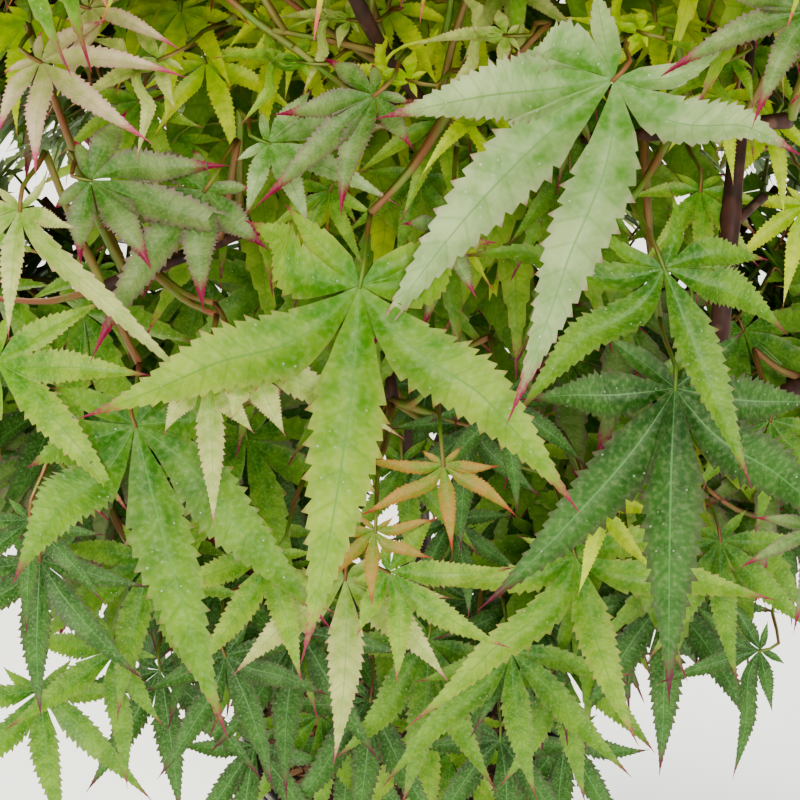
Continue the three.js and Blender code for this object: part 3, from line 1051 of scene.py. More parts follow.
@dataclass(frozen=True)
class Limbs:
    """The trunk and its six boughs."""

    trunk: TrunkShape
    relief: BarkRelief = BarkRelief()
    trunk_rings: int = 230
    trunk_sides: int = 56
    bough_rings: int = 110
    bough_sides: int = 28

    def build(self) -> dict[str, Piece]:
        """Builds one piece for each limb.

        Returns:
            The pieces by the name of the CAD node that each replaces.
        """
        middle = [self.trunk.middle(i / self.trunk_rings) for i in range(self.trunk_rings + 1)]
        patch = self.relief.limb(middle, self.trunk.radius, self.trunk_sides, 0.0)
        pieces = {"trunk": joined_mesh("trunk_bark", [patch])}
        for tier in (HIGH_TIER, LOW_TIER):
            for index, name in enumerate(tier.names):
                middle = tier.middle(self.trunk, index, self.bough_rings)
                patch = self.relief.limb(middle, bough_radius, self.bough_sides, 1.7 * index + 1)
                pieces[f"bough_{name}"] = joined_mesh(f"bough_{name}_bark", [patch])
        return pieces

    def dress(self, pieces: dict[str, Piece]) -> None:
        """Dark young bark on each limb, in place of its CAD node.

        Args:
            pieces: the limbs by CAD node.
        """
        bark = BARK.material("young bark")
        for node, piece in pieces.items():
            dress(piece, [bark])
            place_piece(piece, "bark", node)


# Crown: the rule of the part's source


class Solid:
    """Triangles that can be tested against those of another solid."""

    def __init__(self, points: Vec, faces: list[list[int]]) -> None:
        """Keeps the triangles and the box round them."""
        self.tree = BVHTree.FromPolygons(points.tolist(), faces, all_triangles=True)
        self.low, self.high = points.min(0), points.max(0)

    def meets(self, other: "Solid") -> bool:
        """True where the two solids meet."""
        if (self.low > other.high).any() or (self.high < other.low).any():
            return False
        return bool(self.tree.overlap(other.tree))


@dataclass
class Mass:
    """A mass of foliage on the end of a limb."""

    name: str
    limb: list[Vec]
    centre: Vec
    walls: Vec = field(init=False)
    offsets: Vec = field(init=False)

    @property
    def tip_way(self) -> Vec:
        """Direction of the limb's tip."""
        return unit(self.limb[-1] - self.limb[-2])


@dataclass
class Twig:
    """A twig's middle, with its radius at each end and the scale of its leaves."""

    points: list[Vec]
    foot_radius: float
    tip_radius: float
    leaf_scale: float
    fine: bool = False
    solid: Solid | None = None
    parent: "Twig | None" = None

    @property
    def length(self) -> float:
        """Straight distance from foot to tip."""
        return norm(self.points[-1] - self.points[0])


@dataclass
class Leaf:
    """A leaf's place: foot of the stalk, base of the blade and the way that it lies."""

    foot: Vec
    base: Vec
    stalk_way: Vec
    forward: Vec
    normal: Vec
    length: float
    droop: float
    tint: Tint | None = None
    lobe_turns: Vec | None = None
    lobe_stretches: Vec | None = None
    lobe_curls: Vec | None = None
    lobe_sickles: Vec | None = None
    solid: Solid | None = None
    twig: Twig | None = None

    @property
    def side(self) -> Vec:
        """Direction across the blade."""
        return cross(self.normal, self.forward)


@dataclass(frozen=True)
class CrownShape:
    """The crown and how it is shared out among the masses."""

    rise: float = 284
    reach: Place = (196, 196, 212)
    top_distance: float = 118
    mass_gap: float = 0.8
    seed: int = 45


@dataclass(frozen=True)
class TwigRule:
    """How twigs fan out from the stem of a mass and branch."""

    stem_radius: float = 3.2
    stem_tip_radius: float = 3
    stem_share: float = 0.8
    stem_start: float = 8
    stem_bend: float = 0.45
    stem_bow: float = 6
    radius: float = 1.5
    side_radius: float = 1.3
    tip_radius: float = 1.3
    in_mass: int = 9
    lowest_share: float = 0.5
    widest_lean: float = 84
    longest: float = 120
    shortest: float = 24
    feeler: float = 3
    upturn: float = 0.1
    sway: float = 0.36
    side_every: int = 2
    side_share: float = 0.48
    side_turn: float = 0.6
    longest_side: float = 62
    side_leaf_scale: float = 0.88
    checks: int = 16
    clearance: float = 1
    fine_shares: tuple[float, ...] = (0.22, 0.4, 0.58, 0.76, 0.9)
    fine_swing: Pair = (-1.2, 1.2)
    fine_turn: float = 1.1
    fine_onward: float = 0.8
    fine_lengths: Pair = (20, 46)
    short_fine: float = 30
    fine_radius: float = 0.8
    fine_tip_radius: float = 0.55
    fine_leaf_scale: float = 0.84


@dataclass(frozen=True)
class LeafRule:
    """How leaves stand in pairs along a twig."""

    length: float = 61
    lengths: Pair = (0.88, 1.12)
    thickness: float = 2.2
    room: float = 40
    spacing: float = 24
    clearance: float = 2.2
    node_spacing: float = 20
    node_turn: float = 1.3
    inset: float = 2
    stalk_radius: float = 0.45
    stalk_lengths: Pair = (16, 34)
    stalk_sideways: float = 0.8
    stalk_outward: float = 0.4
    stalk_onward: Pair = (0.4, 0.7)
    stalk_rise: Pair = (0.15, 0.45)
    blade_outward: float = 0.9
    lowest_hang: float = 50
    highest_hang: float = 18
    hang_spread: Pair = (-12, 12)
    roll_spread: Pair = (-17, 17)
    droops: Pair = (0.08, 0.24)
    least_stalk_bend: float = 0.25
    tries: int = 40
    turn: float = 0.23
    shrink: float = 0.007
    side_lobes: tuple[Pair, ...] = ((38, 0.94), (82, 0.7))
    notch_share: float = 0.34
    foot_angle: float = 150
    foot_share: float = 0.06
    fine_spacing: float = 13.5
    fine_tries: int = 12

    def rim(self) -> list[Pair]:
        """Corners of the blade's rim.

        Returns:
            Their angles and shares of the length, in turn round the blade's foot.
        """
        half = [(0.0, 1.0)]
        for angle, share in self.side_lobes:
            half += [((half[-1][0] + angle) / 2, self.notch_share * share), (angle, share)]
        half.append((self.foot_angle, self.foot_share))
        return [(-angle, share) for angle, share in half[:0:-1]] + half


# Masses whose finer twigs branch once more, and what their seeds are raised by for that
FULL_MASSES = ("top", "front", "left", "right")
FINER_SEED = 300


class Crown:
    """Grows the masses by the rule of the part's source."""

    def __init__(self, trunk: TrunkShape, shape: CrownShape, twigs: TwigRule, leaves: LeafRule) -> None:
        """Places the masses on their limbs.

        Args:
            trunk: the trunk.
            shape: the crown's outline.
            twigs: the rule for twigs.
            leaves: the rule for leaves.
        """
        self.shape, self.twig_rule, self.leaf_rule = shape, twigs, leaves
        self.centre = UP * (trunk.compost_top + shape.rise)
        self.reach = np.array(shape.reach, float)
        self.masses = [Mass("top", trunk.line(), self.centre + UP * shape.top_distance)]
        for tier in (HIGH_TIER, LOW_TIER):
            for index, name in enumerate(tier.names):
                lift = radians(tier.elevation)
                level = cos(lift) * tier.distance
                high = sin(lift) * tier.distance
                turn = tier.turn(index)
                away = np.array([cos(turn) * level, sin(turn) * level, high])
                self.masses.append(Mass(name, tier.middle(trunk, index, tier.steps), self.centre + away))
        for mass in self.masses:
            across = np.array([other.centre - mass.centre for other in self.masses if other is not mass])
            wide = np.linalg.norm(across, axis=1)
            mass.walls = across / wide[:, None]
            mass.offsets = (wide - shape.mass_gap) / 2
        balls, radii = [], []
        for index, mass in enumerate(self.masses):
            count = 6 * (len(mass.limb) - 1)
            for i in range(count + 1):
                balls.append(along(mass.limb, i / count))
                radii.append(bough_radius(i / count) if index else trunk.radius(i / count, 0.0))
        self.balls, self.ball_radii = np.array(balls), np.array(radii)
        self.rim = leaves.rim()
        self.rim_angles = np.radians([angle for angle, _ in self.rim])
        self.rim_shares = np.array([share for _, share in self.rim])

    def in_space(self, mass: Mass, points: Vec) -> bool:
        """True where all points are in the crown and nearest to this mass's centre."""
        rel = (points - self.centre) / self.reach
        inside = np.einsum("ij,ij->i", rel, rel) <= 1
        return bool(inside.all() and ((points - mass.centre) @ mass.walls.T < mass.offsets).all())

    def clear_of_limbs(self, points: Vec, clearance: float) -> bool:
        """True where all points are clear of the trunk and boughs.

        Args:
            points: the points.
            clearance: distance to keep from the bark.

        Returns:
            True where they are clear.
        """
        middle = points.mean(0)
        reach = float(np.abs(points - middle).max()) * 2 + 20
        near = (np.abs(self.balls - middle) < reach).all(1)
        away = points[:, None] - self.balls[near][None]
        gaps = np.einsum("ijk,ijk->ij", away, away)
        return bool((gaps > (self.ball_radii[near] + clearance) ** 2).all())

    def room_along(self, mass: Mass, point: Vec, heading: Vec, longest: float) -> float:
        """How far a twig may run from a point and leave room for its last leaves.

        Args:
            mass: the mass.
            point: foot of the twig.
            heading: direction of the twig.
            longest: the most.

        Returns:
            The length.
        """
        length, room = 0.0, self.leaf_rule.room
        while length < longest + room and self.in_space(mass, (point + heading * length)[None]):
            length += self.twig_rule.feeler
        return min(max(length - room, self.twig_rule.shortest), longest)

    def twig_path(self, start: Vec, heading: Vec, length: float, random: Seeded) -> list[Vec]:
        """A twig's three points: it sways and turns upwards a little at each step.

        Args:
            start: foot of the twig.
            heading: direction at the foot.
            length: length of the twig.
            random: the twig's numbers.

        Returns:
            The points.
        """
        points, way = [start], heading
        for _ in range(2):
            sway = np.array([random() - 0.5, random() - 0.5, random() - 0.5]) * self.twig_rule.sway
            way = unit(way + UP * self.twig_rule.upturn + sway)
            points.append(points[-1] + way * length / 2)
        return points

    def twig_fits(self, mass: Mass, points: list[Vec], radius: float) -> bool:
        """True where a twig stays in its mass's space and off the limbs."""
        checks = self.twig_rule.checks
        places = np.array([along(points, (i + 1) / checks) for i in range(checks)])
        return self.in_space(mass, places) and self.clear_of_limbs(places, radius + self.twig_rule.clearance)

    def make_twig(self, points: list[Vec], foot: float, tip: float, scale: float) -> Twig:
        """A twig with the solid that leaves are kept clear of."""
        radii = [mix(foot, tip, i / (len(points) - 1)) for i in range(len(points))]
        body = tube(points, radii, 3)
        return Twig(points, foot, tip, scale, solid=Solid(body.points, body.faces.tolist()))

    def grow_twigs(self, mass: Mass, seed: int) -> list[Twig]:
        """The stem of a mass, and the twigs that fan out from it and branch once more.

        Args:
            mass: the mass to grow.
            seed: seed of the mass.

        Returns:
            The stem first, then the twigs in order.
        """
        rule = self.twig_rule
        outward = unit(mass.centre - self.centre)
        level = unit(cross(outward, RIGHTWARD if abs(outward[2]) > 0.9 else UP))
        start = mass.limb[-1] + mass.tip_way * FIT_GAP
        end = start + (mass.centre - start) * rule.stem_share
        bend = start + (end - start) * rule.stem_bend + mass.tip_way * rule.stem_bow
        stem = [start, start + mass.tip_way * rule.stem_start, bend, end]
        made = [self.make_twig(stem, rule.stem_radius, rule.stem_tip_radius, 1)]
        for k in range(rule.in_mass):
            random = Seeded(seed * 1000 + k * 10)
            share = k / (rule.in_mass - 1)
            lean = radians(rule.widest_lean) * math.sqrt(share)
            ring = turned(level, outward, seed + k * GOLDEN_ANGLE)
            heading = outward * cos(lean) + ring * sin(lean)
            foot = along(stem, mix(1, rule.lowest_share, share))
            points = self.twig_path(foot, heading, self.room_along(mass, foot, heading, rule.longest), random)
            if not self.twig_fits(mass, points, rule.radius):
                continue
            made.append(self.make_twig(points, rule.radius, rule.tip_radius, 1))
            made[-1].parent = made[0]
            if k % rule.side_every:
                continue
            way = way_at(points, rule.side_share)
            turn = pi * ((k // rule.side_every) % 2) + random.between((-rule.side_turn, rule.side_turn))
            heading = unit(way + turned(unit(cross(way, UP)), way, turn))
            foot = along(points, rule.side_share)
            length = self.room_along(mass, foot, heading, rule.longest_side)
            points = self.twig_path(foot, heading, length, random)
            if self.twig_fits(mass, points, rule.side_radius):
                made.append(self.make_twig(points, rule.side_radius, rule.tip_radius, rule.side_leaf_scale))
                made[-1].parent = made[-2]
        return made

    def leaf_at(self, twig: Twig, share: float, turn: float, scale: float, random: Seeded) -> Leaf:
        """A leaf whose stalk leaves a twig sideways and whose blade lies outwards and hangs.

        Args:
            twig: the twig.
            share: place along it.
            turn: angle of the stalk round it.
            scale: size of the leaf.
            random: the leaf's numbers.

        Returns:
            The leaf.
        """
        rule = self.leaf_rule
        foot = along(twig.points, share)
        heading = way_at(twig.points, share)
        outward = unit((foot - self.centre) * (1, 1, 0))
        sideways = turned(unit(cross(heading, UP)), heading, turn) * rule.stalk_sideways
        onward = heading * random.between(rule.stalk_onward)
        rise = UP * random.between(rule.stalk_rise)
        stalk_way = unit(sideways + onward + outward * rule.stalk_outward + rise)
        base = foot + stalk_way * random.between(rule.stalk_lengths) * scale
        height = min(max((base[2] - self.centre[2]) / self.reach[2], -1), 1)
        hang = mix(rule.lowest_hang, rule.highest_hang, (height + 1) / 2)
        hang = radians(hang + random.between(rule.hang_spread))
        level = unit(unit(stalk_way * (1, 1, 0)) + outward * rule.blade_outward)
        forward = level * cos(hang) - UP * sin(hang)
        roll = radians(random.between(rule.roll_spread))
        normal = turned(unit(UP - forward * forward[2]), forward, roll)
        length = rule.length * random.between(rule.lengths) * scale
        return Leaf(foot, base, stalk_way, forward, normal, length, random.between(rule.droops), twig=twig)

    def rim_points(self, leaf: Leaf, part: float) -> Vec:
        """Points at a part of the way from the blade's foot to its rim."""
        shares = (self.rim_shares * part)[:, None]
        flat = np.cos(self.rim_angles)[:, None] * leaf.forward + np.sin(self.rim_angles)[:, None] * leaf.side
        return leaf.base + (flat * shares - leaf.normal * leaf.droop * shares**2) * leaf.length

    def leaf_fits(self, mass: Mass, leaf: Leaf) -> bool:
        """True where all of the leaf is in the mass's space and off the limbs.

        Args:
            mass: the mass.
            leaf: the leaf.

        Returns:
            True where it is.
        """
        if float(leaf.stalk_way @ leaf.forward) < self.leaf_rule.least_stalk_bend:
            return False
        stalk = [leaf.foot + (leaf.base - leaf.foot) * share for share in (0.3, 0.65, 1)]
        points = np.concatenate([*[self.rim_points(leaf, part) for part in (0.35, 0.7, 1)], stalk])
        return self.in_space(mass, points) and self.clear_of_limbs(points, self.leaf_rule.clearance)

    def add_solid(self, leaf: Leaf) -> None:
        """Gives the leaf the plain solid that it has in the source.

        Args:
            leaf: the leaf.
        """
        edge = self.rim_points(leaf, 1)
        half = leaf.normal * self.leaf_rule.thickness / 2
        side = unit(cross(leaf.normal, leaf.stalk_way)) * self.leaf_rule.stalk_radius
        lift = cross(leaf.stalk_way, side)
        root = [leaf.foot + lift, leaf.foot - lift - side, leaf.foot + side - lift]
        points = np.array([leaf.base + half, leaf.base - half, *edge, *root])
        last = len(edge) + 1
        faces = [face for i in range(2, last) for face in ([0, i, i + 1], [1, i + 1, i])]
        high, left, right = last + 1, last + 2, last + 3
        faces += [[0, high, 2], [2, high, left], [2, left, 1], [1, left, right]]
        faces += [[1, right, last], [last, right, high], [last, high, 0], [high, right, left]]
        leaf.solid = Solid(points, faces)

    def fitting_leaf(
        self, mass: Mass, twig: Twig, place: int, seed: int, tries: range, spacing: float,
        leaves: list[Leaf], twigs: list[Twig] | None = None,
    ) -> Leaf | None:
        """The first leaf that fits at a place on a twig.

        Args:
            mass: the mass.
            twig: the twig.
            place: number of the leaf's place, from the twig's tip inwards.
            seed: seed of the first try, from which the seeds count up.
            tries: the tries, each of which turns and shrinks the leaf further.
            spacing: how far its blade's foot keeps from those of the leaves so far.
            leaves: the leaves so far.
            twigs: twigs that its solid keeps off, as it then does off the leaves, or None for no such test.

        Returns:
            The leaf, or None where none fits.
        """
        bases = np.array([leaf.base for leaf in leaves]).reshape(-1, 3)
        for number, attempt in enumerate(tries):
            leaf = self.try_leaf(twig, place, attempt, seed + number)
            away = bases - leaf.base
            if (np.einsum("ij,ij->i", away, away) < spacing**2).any() or not self.leaf_fits(mass, leaf):
                continue
            if twigs is None:
                return leaf
            self.add_solid(leaf)
            if not any(leaf.solid.meets(other.solid) for other in (*leaves, *twigs)):
                return leaf
        return None

    def grow_leaves(self, mass: Mass, twigs: list[Twig], seed: int) -> list[Leaf]:
        """The leaves that the source gives a mass: a pair at each node, from the twig's tip inwards.

        Args:
            mass: the mass.
            twigs: its stem and twigs.
            seed: seed of the mass. Each place on each twig has a seed of its own.

        Returns:
            The leaves.
        """
        rule = self.leaf_rule
        leaves: list[Leaf] = []
        for order, twig in enumerate(twigs[1:]):
            others = [other for other in twigs if other is not twig]
            for place in range(2 * max(1, int(twig.length // rule.node_spacing))):
                first = seed * 100000 + order * 1000 + place * 50
                tries = range(rule.tries)
                leaf = self.fitting_leaf(mass, twig, place, first, tries, rule.spacing, leaves, others)
                if leaf is not None:
                    leaves.append(leaf)
        return leaves

    def try_leaf(self, twig: Twig, place: int, attempt: int, seed: int) -> Leaf:
        """One try at the leaf of a place on a twig.

        Args:
            twig: the twig.
            place: number of the place, from the twig's tip inwards.
            attempt: number of the try, which turns and shrinks the leaf.
            seed: seed of the leaf.

        Returns:
            The leaf.
        """
        rule = self.leaf_rule
        node = place // 2
        from_tip = rule.inset * (1 + place % 2) + node * rule.node_spacing
        swing = (1 if attempt % 2 else -1) * rule.turn * attempt
        turn = pi * (place % 2) + rule.node_turn * (node % 2) + swing
        scale = twig.leaf_scale * (1 - rule.shrink * attempt)
        return self.leaf_at(twig, 1 - from_tip / twig.length, turn, scale, Seeded(seed))

    def fine_twig(self, mass: Mass, twig: Twig, place: int, hand: int, random: Seeded) -> Twig | None:
        """A finer twig on one side of a twig.

        Args:
            mass: the mass.
            twig: what it grows on.
            place: number of its place along the twig.
            hand: 0 or 1 for the side.
            random: the finer twig's numbers.

        Returns:
            The finer twig, or None where it doesn't fit.
        """
        rule = self.twig_rule
        share = rule.fine_shares[place]
        way = way_at(twig.points, share)
        turn = pi * hand + random.between(rule.fine_swing) + rule.fine_turn * place
        heading = unit(way * rule.fine_onward + turned(unit(cross(way, UP)), way, turn))
        points = self.twig_path(along(twig.points, share), heading, random.between(rule.fine_lengths), random)
        if not self.twig_fits(mass, points, rule.fine_radius):
            return None
        return Twig(points, rule.fine_radius, rule.fine_tip_radius, rule.fine_leaf_scale, True, parent=twig)

    def grow_finer(
        self, mass: Mass, twigs: list[Twig], leaves: list[Leaf], seed: int
    ) -> tuple[list[Twig], list[Leaf]]:
        """Finer twigs on the twigs so far, with leaves in the gaps between the leaves so far.

        Args:
            mass: the mass.
            twigs: its stem and twigs.
            leaves: its leaves so far.
            seed: seed of the mass. Each place on each twig has a seed of its own.

        Returns:
            The finer twigs that bear leaves, and these leaves.
        """
        fine: list[Twig] = []
        added: list[Leaf] = []
        spacing, tries = self.leaf_rule.fine_spacing, range(0, 2 * self.leaf_rule.fine_tries, 2)
        for order, twig in enumerate(twigs):
            for place in range(len(self.twig_rule.fine_shares)):
                for hand in (0, 1):
                    random = Seeded(seed * 70000 + order * 500 + place * 20 + hand * 7 + 3)
                    new = self.fine_twig(mass, twig, place, hand, random)
                    if new is None:
                        continue
                    first = seed * 90000 + order * 2000 + place * 200 + hand * 100
                    borne = len(added)
                    for k in range(2 if new.length < self.twig_rule.short_fine else 4):
                        so_far = [*leaves, *added]
                        leaf = self.fitting_leaf(mass, new, k, first + 20 * k, tries, spacing, so_far)
                        if leaf is not None:
                            added.append(leaf)
                    if len(added) > borne:
                        fine.append(new)
        return fine, added

    def grow(self, mass: Mass, seed: int) -> tuple[list[Twig], list[Leaf]]:
        """Grows a mass: what the source has, then finer twigs, twice where the mass shows most.

        Args:
            mass: the mass.
            seed: seed of the mass.

        Returns:
            Its twigs and its leaves.
        """
        twigs = self.grow_twigs(mass, seed)
        leaves = self.grow_leaves(mass, twigs, seed)
        in_source = len(leaves)
        for lift in (0, FINER_SEED) if mass.name in FULL_MASSES else (0,):
            fine, added = self.grow_finer(mass, twigs, leaves, seed + lift)
            twigs, leaves = twigs + fine, leaves + added
        LOG.info("%s: %d leaves of the source, %d more", mass.name, in_source, len(leaves) - in_source)
        return twigs, leaves


# Leaves: the toothed blade


class Lobe(Enum):
    """Lobes of a leaf by their place from the middle one, seen from above with the middle one towards you."""

    MIDDLE = 0
    RIGHT = 1
    LEFT = 2
    FAR_RIGHT = 3
    FAR_LEFT = 4
    BACK_RIGHT = 5
    BACK_LEFT = 6


@dataclass(frozen=True)
class BladeShape:
    """Outline of a blade in shares of its middle lobe's length."""

    angles: tuple[float, ...] = (0, 38, -38, 82, -82, 128, -128)
    shares: tuple[float, ...] = (1, 0.94, 0.94, 0.7, 0.7, 0.3, 0.3)
    teeth: tuple[int, ...] = (20, 20, 20, 14, 14, 6, 6)
    half_width: float = 0.09
    swell: float = 0.64
    point: float = 1.45
    tooth_reach: float = 0.12
    tooth_lean: float = 0.22
    fused: float = 0.14
    fold: float = 0.42
    back_half_angle: float = 40
    curl_start: float = 0.35
    tip_start: float = 0.975
    crowding: float = 0.92
    plan_size: float = 61

    def width(self, share: float, lobe_share: float) -> float:
        """Half width of a lobe at a share of its length."""
        return self.half_width * lobe_share**0.7 * sin(pi * share**self.swell) ** self.point

    def walls(self, lobe: int) -> Pair:
        """Half the angles to the next lobes on the right and on the left, in radians.

        Args:
            lobe: number of the lobe.

        Returns:
            The two angles.
        """
        order = sorted(self.angles)
        at = order.index(self.angles[lobe])
        right = (order[at + 1] - order[at]) / 2 if at + 1 < len(order) else self.back_half_angle
        left = (order[at] - order[at - 1]) / 2 if at else self.back_half_angle
        return radians(right), radians(left)


class Blade:
    """The flat blade of a leaf, to be laid out once for each leaf."""

    def __init__(self, shape: BladeShape, columns: tuple[float, ...]) -> None:
        """Lays out the lobes.

        Args:
            shape: the blade's outline.
            columns: places across a lobe, from -1 at its left edge to 1 at its right edge.
        """
        self.shape = shape
        self.columns = columns
        rows: list[tuple[int, float, float, float]] = []
        faces: list[tuple[int, int, int]] = []
        rows.append((0, 0.0, 0.0, 0.0))
        for lobe, lobe_share in enumerate(shape.shares):
            first = len(rows)
            steps = self.lobe_rows(lobe)
            for share, reach, lean in steps:
                width = shape.width(share, lobe_share)
                right, left = shape.walls(lobe)
                for column in self.columns:
                    wall = share * lobe_share * math.tan(right if column > 0 else left)
                    shift = lean * abs(column) ** 2
                    rows.append((lobe, share + shift, column * min(width * reach, wall), max(width, 1e-4)))
            rows.append((lobe, 1.0, 0.0, 0.01))
            tip, wide = len(rows) - 1, len(self.columns)
            for j in range(wide - 1):
                faces.append((0, first + j, first + j + 1))
                for i in range(len(steps) - 1):
                    a = first + i * wide + j
                    faces += [(a, a + wide, a + wide + 1), (a, a + wide + 1, a + 1)]
                a = first + (len(steps) - 1) * wide + j
                faces.append((a, tip, a + 1))
        table = np.array(rows)
        self.lobe = table[:, 0].astype(int)
        self.share, self.across = table[:, 1], table[:, 2]
        self.faces = np.array(faces)
        self.lobe_share = np.array(shape.shares)[self.lobe]
        self.angle = np.radians(np.array(shape.angles))[self.lobe]
        length = self.share * self.lobe_share
        x = length * np.cos(self.angle) - self.across * np.sin(self.angle)
        y = length * np.sin(self.angle) + self.across * np.cos(self.angle)
        self.lobe_map = np.stack([self.across / np.maximum(table[:, 3], 0.004), self.share], 1)
        self.lobe_map[0] = (0, 0)
        self.plan = np.stack([y, x], 1)
        near = np.clip(self.share * self.lobe_share / 0.5, 0, 1)
        self.ease = near**2 * (3 - 2 * near)

    def lobe_rows(self, lobe: int) -> list[Place]:
        """Rows across one lobe as share of its length, reach of its edge and lean of the tooth.

        Args:
            lobe: number of the lobe.

        Returns:
            The rows, from the foot to the last tooth.
        """
        shape = self.shape
        start = shape.fused / shape.shares[lobe]
        rows = [(start * part, 1.0, 0.0) for part in (0.45, 1.0)]
        count = shape.teeth[lobe]
        shares = start + (shape.tip_start - start) * (np.arange(count + 1) / count) ** shape.crowding
        for i in range(count):
            step = shares[i + 1] - shares[i]
            reach = shape.tooth_reach * (1.5 + 0.2 * sin(2.3 * i + 1.7 * lobe) if i % 2 else 0.5)
            rows.append((shares[i] + 0.05 * step, 1 - 0.9 * reach, 0.0))
            rows.append((shares[i] + 0.75 * step, 1 + reach, shape.tooth_lean * step))
        return rows

    def laid(self, leaf: Leaf) -> Vec:
        """Points of a leaf's blade in space.

        Args:
            leaf: the leaf.

        Returns:
            The points in millimetres.
        """
        turn = self.angle + leaf.lobe_turns[self.lobe] * self.ease
        stretch = 1 + (leaf.lobe_stretches[self.lobe] - 1) * self.ease
        length = self.share * self.lobe_share * stretch * leaf.length
        across = self.across * leaf.length
        bow = leaf.length * self.share * (1 - self.share) * self.lobe_share
        bowed = across + leaf.lobe_sickles[self.lobe] * bow
        x = length * np.cos(turn) - bowed * np.sin(turn)
        y = length * np.sin(turn) + bowed * np.cos(turn)
        far = length / leaf.length
        outer = np.maximum(self.share - self.shape.curl_start, 0) ** 2 * self.lobe_share
        curl = leaf.lobe_curls[self.lobe] * outer * leaf.length
        z = self.shape.fold * np.abs(across) - leaf.droop * far**2 * leaf.length - curl
        return leaf.base + np.outer(x, leaf.forward) + np.outer(y, leaf.side) + np.outer(z, leaf.normal)


# Painted light: SUNLIT tints are bright ones that stand in for light from above, SHADED tints darker ones
# that stand in for shade under the crown
SUNLIT = (Tint.LIME, Tint.MEADOW, Tint.GRASS)
SHADED = (Tint.MEADOW, Tint.GRASS, Tint.FOREST)
# Tints of each mass, from those of its upper leaves to those of its lower ones. A rare tint may come last.
PALETTES: dict[str, tuple[Tint, ...]] = {
    "top": (*SUNLIT, Tint.BLUSH),
    "front": (*SUNLIT, Tint.FOREST),
    "right": (*SUNLIT, Tint.FOREST),
    "left": (*SUNLIT, Tint.BLUSH),
    "low_left": (*SHADED, Tint.DUSK),
    "low_right": (*SHADED, Tint.DUSK),
    "low_back": (*SUNLIT, Tint.FOREST),
}
RARE_TINTS = (Tint.BLUSH, Tint.DUSK)
RARE_SHARE = 0.09
# Share of the leaves up to which each tint is dealt, and how much higher leaves are brighter, as painted
# light from above
TINT_SHARES = (0.22, 0.6, 0.95, math.inf)
TINT_RISE = 0.4
# Half the height of a mass, and the width of a spray, whose leaves have the same tint, in millimetres
MASS_REACH = 100
SPRAY_SIZE = 17
# Teeth of a lobe and points across it, on the many leaves of the rule and on the near ones
PLAIN_TEETH = (8, 8, 8, 6, 6, 3, 3)
PLAIN_COLUMNS = (-1.0, 0.0, 1.0)
NEAR_COLUMNS = (-1.0, -0.5, 0.0, 0.5, 1.0)
# How much the lobes of a leaf differ, by the field of Leaf
LOBE_SPREADS: dict[str, Pair] = {
    "lobe_turns": (-0.09, 0.09),
    "lobe_stretches": (0.86, 1.0),
    "lobe_curls": (-0.12, 0.5),
    "lobe_sickles": (-0.16, 0.16),
}
STALK_RADIUS = 0.5
# Swelling of a twig at a pair of leaves: half its length, and its share of the radius
KNOT_HALF = 1.5
KNOT_RISE = 0.22


